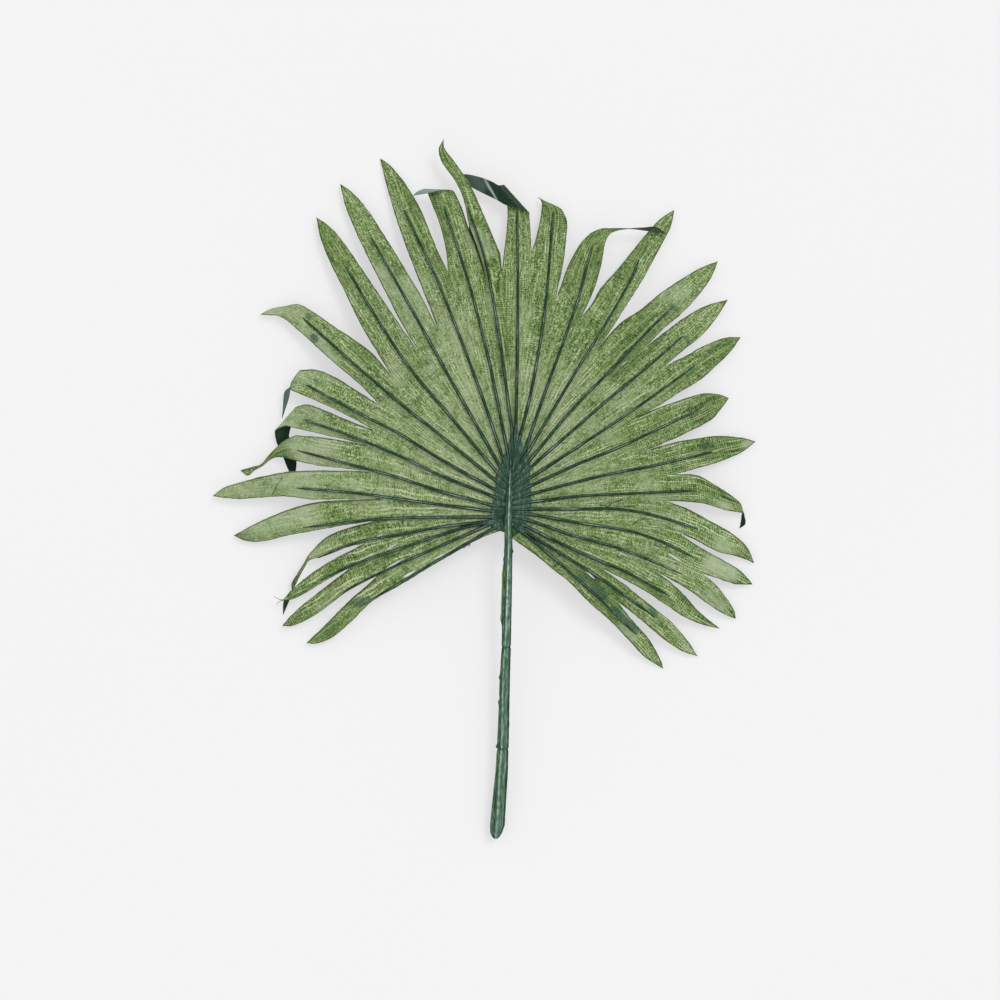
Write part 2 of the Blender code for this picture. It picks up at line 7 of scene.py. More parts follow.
import math
import random
from collections import namedtuple

import bmesh
import bpy
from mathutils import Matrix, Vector, noise


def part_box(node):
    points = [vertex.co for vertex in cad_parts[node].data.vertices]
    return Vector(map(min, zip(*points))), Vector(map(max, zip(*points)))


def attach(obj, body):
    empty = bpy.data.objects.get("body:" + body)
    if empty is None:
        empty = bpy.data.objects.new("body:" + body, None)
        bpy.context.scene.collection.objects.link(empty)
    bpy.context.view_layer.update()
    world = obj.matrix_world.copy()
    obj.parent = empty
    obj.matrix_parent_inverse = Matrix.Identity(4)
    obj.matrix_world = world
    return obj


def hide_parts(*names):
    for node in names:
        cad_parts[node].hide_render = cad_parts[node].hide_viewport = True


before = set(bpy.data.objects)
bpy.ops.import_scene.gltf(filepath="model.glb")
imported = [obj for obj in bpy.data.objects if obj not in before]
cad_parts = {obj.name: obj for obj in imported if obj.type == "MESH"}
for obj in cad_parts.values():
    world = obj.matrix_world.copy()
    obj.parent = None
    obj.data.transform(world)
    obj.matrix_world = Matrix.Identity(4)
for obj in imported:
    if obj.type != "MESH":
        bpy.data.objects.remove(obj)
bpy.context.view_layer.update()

MM = 0.001

# The drawing's place in the frame: the blade's left and top tips lie in the CAD node's box
BLADE_LOW, BLADE_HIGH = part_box("leaf_blade")
DRAWN_LEFT = -143.75
DRAWN_TOP = 180.5
SHIFT = Vector((BLADE_LOW[0] / MM - DRAWN_LEFT, BLADE_HIGH[1] / MM - DRAWN_TOP, 0.0))

# Heights above the surface that the leaf lies on, and how far from the hub it stays level
HUB_HEIGHT = 12.0
FLAT_RADIUS = 38.0

# Depth of the pleats between the ribs, where they start, how they grow, and how they end before a tip
PLEAT = 0.8
PLEAT_START = 18.0
PLEAT_GROWTH = 30.0
PLEAT_END = 15.0

# Thickness of the fabric in the solid and as shown, and the step of the detailed mesh along each leaflet
FABRIC = 0.65
CLOTH = 0.4
STEP = 1.6

# Distance between two leaflets across the print, the leaflet at the top, and a distance from any cut edge
LEAFLET_STEP = 100.0
TOP_LEAFLET = 12.0
UNCUT = 50.0

# Steps of the weave across and along a leaflet, and how far the creases wander, in metres
LINE_STEP = 1.2
DASH_STEP = 1.1
WANDER = 0.0022

# Places of the lines of points across half a leaflet: 0 at the rib, 1 at the side
RAILS = (0.09, 0.24, 0.42, 0.6, 0.78, 0.91)

# The stem: y along it, x of its axis, its diameter and the height of its axis
STEM = [
    (15, 5, 1, 13), (4, 4.6, 2.6, 13.7), (-10, 4.1, 3.8, 14.4), (-22.5, 4.2, 4.1, 14.4),
    (-37.5, 3.8, 4.6, 13), (-62.5, 3.3, 4.7, 10.9), (-72.6, 3.1, 4.7, 10.1), (-73.4, 3.1, 4, 10),
    (-74.2, 3.1, 4.7, 9.9), (-89, 2.4, 5.2, 8.7), (-108, 1.9, 5.5, 7.2), (-123.7, 1.4, 5.9, 6.1),
    (-124.5, 1.4, 5.1, 6), (-125.3, 1.3, 5.9, 5.9), (-136.5, 0.8, 6.3, 5.2), (-152, -0.5, 7, 4.2),
    (-162.5, -1.3, 7.4, 3.7), (-166.4, -1.9, 6, 3.6), (-168.8, -2.1, 3.4, 3.5), (-169.5, -2.2, 1.4, 3.5),
]

HUB_CENTRE = Vector((4.0, 0.0))

# A leaflet, clockwise seen from above: rib from the hub out, cut edge towards the leaflet before it, cut edge
# towards the next one, height of its end, turned rows (pairs of edge points with heights), and tip
Leaflet = namedtuple("Leaflet", "rib first second end_height turned tip")

# Bottom of the cut between each leaflet and the next
NOTCHES = [
    (-61.5, -38), (-75, -34), (-68, -21.75), (-63, -10.5), (-59, 0.75), (-65, 14.25), (-66, 27.5),
    (-62.5, 34.75), (-60, 47.25), (-54.25, 62.25), (-41.5, 75.5), (-31.5, 86.25), (-26, 114), (-7.1, 110),
    (1, 115), (16, 125), (28, 101), (40.5, 91), (49, 76), (72.5, 76.25), (82.75, 67.25), (67.5, 41),
    (73, 24.75), (88, 13), (83.5, -0.5), (90.5, -17), (100.5, -36.5), (75.5, -34.25), (49.5, -33.5),
    (58.5, -50.5),
]

# Edge of the hub at the blade's two margins, beside the stem
MARGINS = ((0.0, -15.5), (6.0, -19.0))

LEAFLETS = [
    Leaflet([(-4, -14.5), (-30, -29.5), (-50, -41.5), (-64, -49.5)],
            [(-11, -19.7), (-30, -30.6), (-50, -42.6), (-64, -50.8), (-75, -61.4), (-84.5, -69.1),
             (-92.5, -72)],
            [(-65, -41.3), (-75, -50), (-85, -60), (-95, -69.8)],
            2.2, [], (-97, -71.5)),
    Leaflet([(-5, -12), (-30, -23), (-50, -31.75), (-70, -41.5), (-78.5, -46.5)],
            [(-70, -42), (-77.5, -46.2), (-85, -52.2), (-95, -59), (-104, -63)],
            [(-80, -37.8), (-90, -45.5), (-100, -53.5), (-105, -58.3)],
            3.0, [], (-109, -63)),
    Leaflet([(-5.5, -11.3), (-20, -14.3), (-37.5, -20), (-50, -24.4), (-70, -31), (-90, -40)],
            [(-82.5, -37.75), (-90, -42), (-98.5, -47.25), (-105, -50)],
            [(-75, -25.5), (-85, -30.6), (-95, -37.2), (-103.8, -44.6)],
            5.6, [], (-108.5, -50)),
    Leaflet([(-5, -10.5), (-30, -13.5), (-50, -17.25), (-70, -20.75), (-91, -29)],
            [(-80, -24.5), (-90, -28.5), (-95.25, -30)],
            [(-77.5, -14.5), (-87.5, -19), (-95, -26.5)],
            6.0, [((-97.2, -32.8, 4.0), (-97.8, -31.9, 6.3)), ((-100.4, -38.6, 2.2), (-101.7, -37.9, 4.4)),
                  ((-102.4, -42.6, 0.9), (-104.1, -42.2, 3.0)), ((-104.2, -46.0, 0.4), (-103.6, -46.2, 2.4)),
                  ((-108.0, -50, 0.2), (-105.2, -49.8, 1.8))],
            (-108.5, -57.5, 0.1)),
    Leaflet([(-5, -8.5), (-30, -8.5), (-60, -9.5), (-98.5, -13.75)],
            [(-80, -13), (-95, -15.75), (-107.5, -18), (-117.5, -20.5), (-127, -20.5)],
            [(-77.5, 0), (-91.5, -1), (-105, -4.5), (-117.5, -9.5), (-127.5, -14.5)],
            2.0, [], (-133.25, -17.75)),
    Leaflet([(-4.5, -5.5), (-30, -2.25), (-50, 0.5), (-70, 3.25), (-101.5, 6)],
            [(-75, 0.5), (-94, 0.25), (-106, 1.75), (-119, 1.25), (-130, 0.5), (-137.5, 1)],
            [(-77.5, 14.65), (-94, 14.75), (-106, 14.1), (-119, 11.75), (-130, 8.85), (-138.5, 6)],
            3.6, [], (-143.75, 2)),
    Leaflet([(-4, -2.5), (-30, 4.5), (-50, 11), (-70, 16.5), (-101, 24.7)],
            [(-77.5, 15.75), (-91, 17.25), (-103, 19.8)],
            [(-77.5, 29.5), (-91, 31.5), (-102, 32.4)],
            6.8, [((-108.25, 21.25, 4.8), (-108.5, 29.5, 5.0)), ((-112.5, 21.25, 3.2), (-112.5, 25.5, 4.4)),
                  ((-115.5, 19.75, 1.8), (-116, 21.5, 4.6)), ((-119.2, 16.75, 1.0), (-119.6, 17.45, 4.0)),
                  ((-123, 14.75, 0.9), (-124, 16.35, 2.4)), ((-126.25, 12.25, 0.8), (-127.25, 15.6, 1.4))],
            (-130, 14.85, 0.8)),
    Leaflet([(-3, 1.6), (-30, 12.5), (-50, 21.9), (-70, 30.25), (-98, 40.2)],
            [(-77.5, 30.25), (-87.5, 32.5), (-97.5, 34.75), (-107.5, 37)],
            [(-75, 39.5), (-87.5, 44.8), (-96, 47.7), (-101, 46.9)],
            6.6, [((-112.2, 35.2, 5.2), (-102.7, 45.9, 5.2)), ((-112.7, 33.6, 3.2), (-102.5, 42.5, 3.6)),
                  ((-111.9, 29.0, 1.2), (-105.6, 32.5, 1.6)), ((-110, 25, 0.0), (-103.6, 26, 0.0)),
                  ((-108.25, 20.5, 0.0), (-102, 20.5, 0.0)), ((-106, 15, 0.0), (-102.2, 15, 0.0))],
            (-103.5, 11.5, 0.0)),
    Leaflet([(-2, 5), (-30, 20.5), (-50, 33), (-70, 43), (-96.5, 57.5)],
            [(-75, 41.5), (-85, 46.5), (-94.5, 50.75), (-101, 53.5)],
            [(-72.5, 55.25), (-82.5, 61.4), (-92, 65.2), (-100, 64.9)],
            6.4, [((-104.4, 54.9, 5.4), (-103.4, 60.2, 6.2)), ((-105.0, 55.8, 4.4), (-104.6, 56.4, 6.2)),
                  ((-107.5, 54.2, 3.6), (-104.8, 54.6, 5.2)), ((-108.2, 50.6, 3.2), (-105.7, 50.3, 4.4)),
                  ((-108.5, 46.2, 2.6), (-107.1, 46.2, 3.2))],
            (-109.0, 40.7, 2.2)),
    Leaflet([(-2.5, 10), (-30, 32.5), (-50, 48.5), (-70, 65.5), (-98.5, 91)],
            [(-69, 56.75), (-77.5, 64), (-87.5, 72.75), (-97, 81.4), (-104.5, 88), (-110, 91.8),
             (-115, 92.4)],
            [(-64, 73.5), (-73.5, 80.5), (-84, 87.5), (-94, 94.5), (-101, 98), (-107.5, 97), (-115, 95.5)],
            3.4, [], (-120, 92.75)),
    Leaflet([(-1.5, 14), (-25, 42), (-45, 66), (-61, 90), (-77, 116.5)],
            [(-62.7, 76), (-69.9, 88.2), (-77.4, 103.7), (-85.3, 119.6), (-89.7, 131)],
            [(-48, 84.5), (-57.5, 98.5), (-67, 112.5), (-76.5, 126.5), (-84.5, 136.25)],
            3.0, [], (-92, 141.5)),
    Leaflet([(0, 17), (-20, 52), (-40, 88), (-64.5, 131.5)],
            [(-50.2, 90), (-57.9, 105.2), (-65.6, 120.3), (-73, 136.2), (-77.8, 148.5)],
            [(-38, 99.5), (-47.5, 115.5), (-57, 131), (-66.5, 145.5), (-74, 154)],
            2.4, [], (-80, 158.25)),
    Leaflet([(1.5, 21), (-11, 57.5), (-30, 106.5), (-48, 145)],
            [(-34.1, 93.5), (-40.4, 109.6), (-46.9, 126.2), (-52.5, 142.6), (-57.4, 160)],
            [(-30, 122), (-35, 134), (-40, 146), (-47.5, 158.5), (-55, 167.5)],
            FABRIC, [], (-60, 171)),
    Leaflet([(3.5, 25.5), (-5, 67.5), (-15, 106.5), (-28, 146.5)],
            [(-27, 125), (-30, 137.5), (-34.5, 149), (-36.4, 154)],
            [(-10.4, 122), (-12.7, 128.6), (-15.9, 136.3), (-18.5, 144.5), (-22, 152.4)],
            5.6, [((-37.7, 155.2, 7.0), (-23.6, 154.4, 6.4)), ((-39.2, 154.7, 8.4), (-29.5, 154.5, 7.9)),
                  ((-41.3, 154, 9.2), (-34.4, 153.6, 8.6))],
            (-43.5, 152, 8.6)),
    Leaflet([(6, 35), (4, 50), (-0.5, 82.5), (-7.5, 120), (-16, 146)],
            [(-9.7, 121), (-12.2, 128.5), (-15.1, 136), (-18.2, 150), (-22.2, 159), (-28.9, 168.6),
             (-30.6, 175.2)],
            [(0, 123), (-2.5, 129), (-8.5, 143.5), (-15, 157.6), (-21.6, 167.5), (-28, 176.3)],
            8.2, [], (-28, 180.5)),
    Leaflet([(8, 37), (8.75, 75), (9, 110), (8.5, 144)],
            [(2, 123.5), (3.2, 134), (3.8, 145), (2.4, 155.4)],
            [(15.5, 127.5), (15.25, 135), (14.6, 142)],
            4.4, [((1.9, 157.3, 5.6), (14.3, 143.5, 5.6)), ((-0.6, 157.2, 6.9), (9.3, 145.9, 6.9)),
                  ((-3.5, 158.9, 6.6), (3.5, 147.2, 6.6)), ((-8.5, 161, 5.2), (-1.5, 150, 5.6)),
                  ((-15, 162.7, 4.0), (-10, 154.2, 4.2)), ((-18.5, 162.8, 3.4), (-15, 157, 3.4))],
            (-20.5, 160.2, 3.2)),
    Leaflet([(10, 31.5), (16, 56), (22.5, 95), (26.6, 143.8)],
            [(17.7, 130), (20.1, 140), (20.8, 145.5)],
            [(29, 106), (31.75, 119), (33.25, 132.5), (33.5, 140), (31.6, 144.2)],
            3.4, [((20.9, 147, 3.3), (30.2, 146, 3.3)), ((20.9, 148.6, 3.2), (26.5, 147.9, 3.2)),
                  ((20.1, 150.4, 3.1), (22.4, 149.7, 3.1))],
            (18.9, 151.7, 3.0)),
    Leaflet([(12.5, 25), (23.5, 56.5), (38.5, 98.5), (46.2, 127.6)],
            [(30, 106), (34, 117), (40, 128), (45, 133.3)],
            [(46.6, 104), (50.3, 116.1), (51.6, 123)],
            6.4, [((50.5, 135.6, 6.8), (52.6, 128.5, 5.6)), ((55.5, 135.6, 7.2), (55, 132.9, 5.4)),
                  ((60, 135.5, 7.6), (59.5, 134.8, 5.4)), ((66.5, 135.2, 7.8), (66.5, 135.6, 5.6)),
                  ((72.5, 134.5, 7.4), (72.5, 136.0, 5.8)), ((78, 133.8, 6.2), (77.5, 136.5, 5.9))],
            (83.5, 133, 5.2)),
    Leaflet([(14, 24), (35.5, 60), (56, 93.5), (66.5, 112.5), (69.5, 120)],
            [(46.5, 99), (50, 105.5), (58.5, 115), (66.5, 125), (74, 134), (80, 140.5)],
            [(56.2, 86), (64.2, 98.9), (71.2, 109.9), (79.3, 124.9), (85.5, 137)],
            2.0, [], (87.25, 145.25)),
    Leaflet([(15, 20), (35, 44), (57.5, 67), (77.5, 88), (86.5, 97)],
            [(53.5, 81.5), (60.5, 88.75), (70, 95), (80, 103.25), (90, 110), (100, 116)],
            [(81.4, 85.2), (90.3, 92.8), (98, 100.8), (105.4, 110.8)],
            2.2, [], (109, 119.5)),
    Leaflet([(15, 16), (35, 33.5), (55, 51), (75, 67.5), (91.5, 82)],
            [(82.4, 84), (92.4, 91.3), (102.4, 97)],
            [(92.3, 75.4), (101.2, 82.7), (108.2, 91)],
            2.6, [], (114, 100.25)),
    Leaflet([(15, 11), (35, 24), (60, 40.5), (85, 58), (97.5, 67.5)],
            [(92.5, 71.9), (102.5, 77.4), (112.5, 81.1)],
            [(80, 47.5), (90, 54), (100, 60), (108.5, 67.5), (116, 75)],
            2.0, [], (120.5, 81.5)),
    Leaflet([(15, 7), (40, 18.5), (60, 26.5), (80, 36), (100, 45.25)],
            [(76, 44.9), (85, 48.1), (95, 51.7), (102.5, 53.3), (110, 52.8)],
            [(85, 29.7), (95, 34.5), (105.5, 40), (111, 46)],
            3.0, [], (114.5, 51)),
    Leaflet([(15.5, 3), (40, 9.5), (60, 14), (77.5, 17.25), (106, 24)],
            [(86, 28.6), (100, 31), (110, 32.1), (121.5, 31)],
            [(100, 16.25), (110, 19.25), (121, 24)],
            1.6, [], (128, 29.25)),
    Leaflet([(15.5, -1), (40, 2), (77.5, 3.75), (97.5, 4.75)],
            [(99, 12.25), (107.5, 7.5), (112.5, 4.5), (117.3, 1.1)],
            [(95, -1), (102.5, -1.9), (112.5, -5), (119, -6.1)],
            4.2, [((120.3, -1.5, 3.2), (122, -6.8, 3.2)), ((121.3, -4.5, 1.8), (122.5, -8.3, 1.8)),
                  ((120.9, -8.8, 0.3), (123, -10.3, 0.3)), ((120.4, -12, 0.0), (122.7, -12.3, 0.0))],
            (119.85, -14.3, 0.0)),
    Leaflet([(15, -4.5), (40, -4.5), (55, -4.25), (70, -6), (85, -10), (99, -14.5)],
            [(95, -5), (105, -10.5), (115, -16), (123.5, -23.5)],
            [(97, -19.6), (103, -22.9), (110, -26.2), (120, -28.5)],
            1.6, [], (127.25, -31.5)),
    Leaflet([(14.5, -7), (40, -11.5), (65, -15.5), (80, -20.5), (96.5, -28.5)],
            [(96, -21.1), (101.5, -24.6), (110, -29.2), (120, -35.2)],
            [(107.5, -38.8), (117.5, -42)],
            2.6, [], (126.5, -42.25)),
    Leaflet([(14, -10), (40, -18.75), (55, -22.75), (70, -28), (91, -37)],
            [(106.8, -41.3), (113.5, -49.3), (117.5, -56)],
            [(86, -40), (95, -45.5), (102.5, -51), (111, -56.5)],
            2.0, [], (118, -59.5)),
    Leaflet([(13, -13), (30, -21.5), (50, -30.5), (65, -37), (85, -48)],
            [(80, -37.1), (86, -41.7), (93, -48.4), (100, -56.2)],
            [(62.5, -40), (72.5, -45.5), (82.5, -52.1), (92.5, -58.7), (101.5, -62.4)],
            2.2, [], (110.25, -64.5)),
    Leaflet([(13, -16), (30, -26.5), (50, -39), (77.5, -58.5)],
            [(60, -40.4), (67.5, -46.4), (78.5, -55.25), (86, -61.25), (93.5, -70)],
            [(69.8, -59.3), (79.8, -67.9), (89.8, -75)],
            1.6, [], (99, -78.25)),
    Leaflet([(10.5, -15.5), (25, -27.5), (45, -45), (68, -67)],
            [(66.5, -60.5), (74, -69), (79.5, -78.5)],
            [(10, -22), (18.5, -28), (25, -33.5), (34, -40.5), (45, -51.6), (55, -60.3), (63.7, -69.4),
             (72, -78.1)],
            1.0, [], (81.8, -84.5)),
]


# Slits along a rib where the surface shows through: both ends, and half the width
SLITS = [
    ((-48.2, -38.6), (-42.4, -35.2), 0.6), ((-33.2, -29.4), (-27.6, -26.8), 0.5),
    ((-57.6, -34.6), (-48.2, -29.2), 0.4), ((-57.8, -25.4), (-49.6, -20.4), 0.4),
    ((-63.6, -19.2), (-56.4, -16.2), 0.25), ((60, 67), (64.8, 70), 0.3), ((60.6, 53), (65.6, 56), 0.3),
    ((83.2, -26.2), (91.2, -31.2), 0.55), ((76.4, -23), (80.2, -24.6), 0.25),
    ((57.6, -25.2), (64.6, -28.6), 0.3), ((43.6, -36), (47.9, -40.8), 0.6),
]

# Narrow strip of fabric, front side up, put just under the gap between a leaflet and the next, so that its
# dark front stands in for the shade in the gap
GAP_SHADE_STRIP = [
    (-15.3, 138), (-14.5, 135), (-13, 128.5), (-11, 123), (-9.5, 120), (-8, 114.5), (-7, 110.3),
]
SHADE_STRIP_GAP = 13

# Painted shade along creases in the fabric: points seen from above, half the width and strength
CREASE_SHADES = [
    ([(-26, 113), (-24, 107.5), (-19, 97)], 0.35, 0.5), ([(-7, 110), (-8.5, 100), (-9.5, 90)], 0.3, 0.35),
    ([(1.9, 124.5), (1.7, 119), (1.1, 115.5), (-0.3, 112.6), (-1.2, 106)], 0.35, 0.9),
    ([(-61, 22), (-60, 15), (-62, 5)], 0.3, 0.5),
    ([(50, -2.2), (53.5, -3.4), (56, -1.6), (60, -0.6)], 0.35, 0.7),
    ([(62, -3.6), (66, -3.2), (70, -1.2)], 0.3, 0.6), ([(-18.5, 158), (-16, 156)], 0.35, 0.7),
    ([(-109, 11), (-112, 6), (-114, 2.5)], 0.35, 0.6), ([(48, 34), (52, 41), (51, 47)], 0.3, 0.4),
    ([(66, -12.5), (68.5, -10), (72, -9.5)], 0.35, 0.6), ([(-36, 60), (-30, 66), (-27, 74)], 0.3, 0.3),
    ([(-47, 80), (-40, 76), (-36, 70)], 0.35, 0.3), ([(22, 96), (28, 92), (33, 94)], 0.35, 0.35),
    ([(-58, 61), (-50, 65.5)], 1.5, 0.2), ([(-54, 55), (-46, 59.5)], 1.5, 0.2),
    ([(-43, 66), (-35, 69.5)], 1.4, 0.22), ([(-41, 74), (-31, 78)], 1.4, 0.22),
    ([(-60, 50), (-52, 53.5)], 1.4, 0.25), ([(-48, 46), (-40, 50)], 1.3, 0.25),
]

# Marks on the fabric: two ends, radius and strength. Glue smears, darker patches and paler patches
GLUE = [
    ((-72, -52), (-66, -50), 2.4, 0.9), ((-96.3, 92.3), (-95.6, 91.2), 1.4, 0.9),
    ((-93, 81.4), (-92.7, 80.4), 2.2, 1), ((-92.3, 59.6), (-91.8, 59.2), 1.7, 0.7),
    ((101.6, 26.4), (101.9, 27.6), 1.6, 1), ((86.5, 96.5), (88, 95), 2, 0.7),
    ((92.5, 80.5), (93.5, 79.5), 1.7, 0.7), ((75.8, -53), (77.3, -57.5), 1.7, 0.9),
    ((40, -38), (47, -43), 1.6, 0.7), ((47, -43), (52, -48), 2.4, 1), ((57, -55), (68, -65), 2.1, 1),
    ((-70.5, 44), (-69, 43.5), 1.5, 0.6), ((-99, 6), (-96, 6), 1.7, 0.6),
]
# Darker patches; some of them are painted shade beside folds and turned tips
DARK_PATCHES = [
    ((-46, 154), (-40, 128), 3.5, 0.8), ((-34, 154), (-28, 124), 3.5, 1.2),
    ((-13, 138), (-3, 112), 4.5, 0.6), ((1, 110), (3, 62), 3, 0.8), ((21, 148), (31, 140), 4.5, 1.3),
    ((47, 130), (50, 108), 4, 0.9), ((32, 118), (36, 104), 4, 0.6), ((60, 110), (72, 128), 4, 0.6),
    ((58, 66), (74, 82), 6, 1.1), ((60, 36), (64, 30), 5, 0.6), ((98, 43), (112, 50), 5, 1.3),
    ((98, 24), (122, 28), 5, 1), ((98, 66), (116, 79), 5, 0.5), ((88, 60), (94, 66), 5, 0.4),
    ((42, -38), (56, -50), 6, 0.8), ((-89, 136), (-76, 110), 4, 0.6), ((-112, 24), (-107, 29), 4, 0.9),
    ((-118, 8), (-110, 10), 5, 0.5), ((-94, -68), (-84, -64), 4, 0.8), ((-104, -48), (-84, -36), 3, 0.6),
    ((-84, -34), (-58, -28), 4, 0.5), ((56, -60), (76, -78), 4, 0.3), ((90, -46), (103, -59), 3.5, 1),
    ((-24, 165), (-28, 176), 2.5, 0.7), ((-24, 160), (-17, 150), 3, 0.5), ((38, 92), (50, 84), 5, 0.4),
    ((-61, 66), (-57, 60), 3, 0.4), ((101, 10), (110, 6), 2.8, 1.2), ((110, 6), (117, 0), 3.6, 1.8),
    ((117.5, -1), (120, -8), 2.2, 1.2), ((9, -20), (20, -28), 3, 0.8),
    ((-109, 28.5), (-106.5, 23.5), 2.8, 1.7), ((-128, -19), (-122, -18), 3, 0.4),
    ((7.6, 146.4), (9.6, 144.4), 1.3, 1), ((10, 144), (28, 140), 2.2, 0.6),
    ((-29, 118), (-26, 111), 3.5, 1), ((38, 124), (41, 112), 3.5, 1), ((48, 104), (54, 98), 4, 0.8),
    ((62, 86), (76, 94), 4, 0.6), ((66, 40), (80, 42), 4, 0.5), ((56, 30), (62, 28), 4, 0.6),
    ((120, -38.5), (125, -41), 2.2, 1.3), ((88, 15), (96, 14), 3, 0.8), ((76, -44), (84, -54), 3.5, 0.6),
    ((92, -72), (96, -76), 3, 0.5), ((102, -46), (116, -56), 3, 0.7), ((-46, 40), (-43, 34), 3.5, 0.8),
    ((-72, 76), (-66, 72), 4, 0.6), ((-88, -50), (-80, -46), 3, 0.9), ((92, 6), (104, 2), 3, 0.6),
]
# Paler patches: pale and worn places, and near the hub painted light that makes up for the shadows of the
# close-set ribs
PALES = [
    ((-22, 84), (-12, 48), 9, 1), ((-44, 104), (-30, 56), 9, 0.5), ((-53, 64), (-51, 60), 5, 0.9),
    ((-60, 18), (-12, 12), 12, 0.7), ((-55, 40), (-20, 30), 9, 0.5), ((-98, 13), (-96, -6), 7, 1),
    ((-88, 34), (-84, 22), 6, 0.8), ((-64, -4), (-15, -4), 5, 0.6), ((-93, 76), (-84, 69), 4, 0.9),
    ((-112, 94), (-100, 95), 5, 0.6), ((-117, 94), (-111, 94.5), 3, 1), ((-100, 62), (-84, 62), 4, 0.5),
    ((-105, 42), (-92, 44), 4, 0.4), ((-138, 4), (-128, 6), 5, 0.6), ((-123, -15), (-105, -8), 5, 0.8),
    ((12, 62), (32, 40), 9, 0.9), ((10, 96), (12, 80), 4, 0.8), ((45, 58), (60, 50), 6, 0.7),
    ((40, 10), (46, 4), 6, 0.8), ((72, 10), (77, 6), 5, 0.7), ((36, 16), (60, 14), 6, 0.5),
    ((111, -22), (113, -25), 3.6, 1), ((104, -49), (110, -55), 4, 0.7), ((80, 104), (92, 104), 5, 0.4),
    ((34, -6), (86, -10), 6, 0.4), ((60, -24), (90, -34), 6, 0.3), ((-94, -26), (-84, -22), 3, 0.6),
    ((-50, -36), (-8, -17), 4, 0.5), ((70, 54), (74, 50), 5, 0.6), ((90, -63), (95, -74), 3.5, 0.4),
    ((-88, -54), (-78, -44), 3.5, 0.3), ((66, 3), (84, 1), 2.5, 0.6), ((20, 30), (30, 12), 8, 0.5),
    ((123.5, 28), (126, 29), 2.6, 1), ((111.5, -2), (113, -3.5), 2, 1), ((-24, 48), (-16, 36), 6, 1),
    ((2, 56), (8, 30), 5, 1), ((22, 70), (34, 62), 5, 0.7), ((-92, 20), (-64, 2), 9, 1),
    ((-104, 28), (-96, 24), 5, 0.8), ((-111, 38), (-104, 36), 2.5, 1), ((106, -32), (115, -36.5), 4.2, 1.2),
    ((-13, 132), (-8, 124), 4, 0.9), ((40, 42), (54, 34), 6, 0.8), ((60, -63), (66, -68), 3, 1),
    ((-60, 114), (-52, 104), 3.5, 0.7), ((-20, -14), (-4, -10), 3, 0.8), ((-6, 100), (-3, 90), 3, 0.6),
    ((-108, 60), (-104, 54), 2.5, 0.7), ((-99, 86), (-88, 78), 3.5, 0.6), ((20, 44), (30, 56), 7, 0.7),
    ((-110, 11), (-100, 8), 5, 0.9), ((-8, 36), (0, 27), 6, 0.8), ((16, 40), (22, 32), 4, 0.8),
    ((-126, 6), (-116, 4), 4, 0.6), ((-14, -12), (-8, -12), 3, 0.8),
]

# Painted sheen, greyer and paler, on the front side over folds
FOLD_SHEENS = [
    ((-14.5, 161.5), (-10.5, 156.5), 4.6, 0.5), ((-7.7, 161), (-1.7, 150.2), 0.7, 1),
    ((2.6, 157.2), (12.6, 145.8), 0.7, 0.65), ((-42, 153), (-30, 155.6), 3, 0.8),
    ((-107.5, 46), (-106, 54), 3, 0.58),
]

# Loose threads at cut edges: root, direction in degrees, length
THREADS = [
    ((-15.2, -22.1), 232, 2.2), ((-15.8, -22.4), 205, 2.8), ((-16.4, -22.6), 218, 2.6),
    ((-17, -22.9), 236, 2), ((-18.4, -23.8), 216, 1.8), ((-18.8, -23.9), 200, 2),
    ((-20.4, -24.9), 212, 1.8), ((-15, -21.9), 262, 1.6), ((-108.2, -50), 184, 5.6),
    ((-108.6, -50.1), 176, 4.4),
]


def unit(value):
    """A value kept between 0 and 1."""
    return min(1.0, max(0.0, value))


def capsule(point, start, end):
    """Distance from a point to the line between two others, seen from above."""
    start, end = Vector(start), Vector(end)
    line = end - start
    part = (point - start).dot(line) / max(line.length_squared, 1e-9)
    return (point - start - line * unit(part)).length


def marked(point, marks):
    """Strength of the strongest mark at a point: full to half its radius, none past one and a half."""
    best = 0.0
    for start, end, radius, strength in marks:
        distance = capsule(point, start, end)
        if distance < radius * 1.5:
            best = max(best, strength * unit(1.5 - distance / radius))
    return best


def station(point):
    """Distance of a point from the hub's centre, seen from above."""
    return (Vector(point[:2]) - HUB_CENTRE).length


def smooth(points, steps=6):
    """A smooth curve through the points, as a finer list of points."""
    points = [Vector(point) for point in points]
    lengths = [(b - a).length for a, b in zip(points, points[1:])]
    slopes = []
    for index in range(len(points)):
        before = max(index - 1, 0)
        after = min(index + 1, len(points) - 1)
        slopes.append((points[after] - points[before]) / sum(lengths[before:after]))
    curve = [points[0]]
    for index, length in enumerate(lengths):
        for step in range(1, steps + 1):
            t = step / steps
            start = points[index] * (2 * t**3 - 3 * t**2 + 1) + slopes[index] * length * (t**3 - 2 * t**2 + t)
            end = points[index + 1] * (3 * t**2 - 2 * t**3) + slopes[index + 1] * length * (t**3 - t**2)
            curve.append(start + end)
    return curve


def at_station(curve, distance):
    """The point of a curve that runs outwards, at a distance from the hub's centre."""
    for a, b in zip(curve, curve[1:]):
        start, end = station(a), station(b)
        if distance <= end and end > start:
            return a.lerp(b, max(0.0, (distance - start) / (end - start)))
    return curve[-1].copy()


def hub_edge(number):
    """Edge of the hub between two ribs, or at a margin beside the stem."""
    if number == 0:
        return Vector(MARGINS[0])
    if number == len(LEAFLETS):
        return Vector(MARGINS[1])
    return (Vector(LEAFLETS[number - 1].rib[0]) + Vector(LEAFLETS[number].rib[0])) / 2


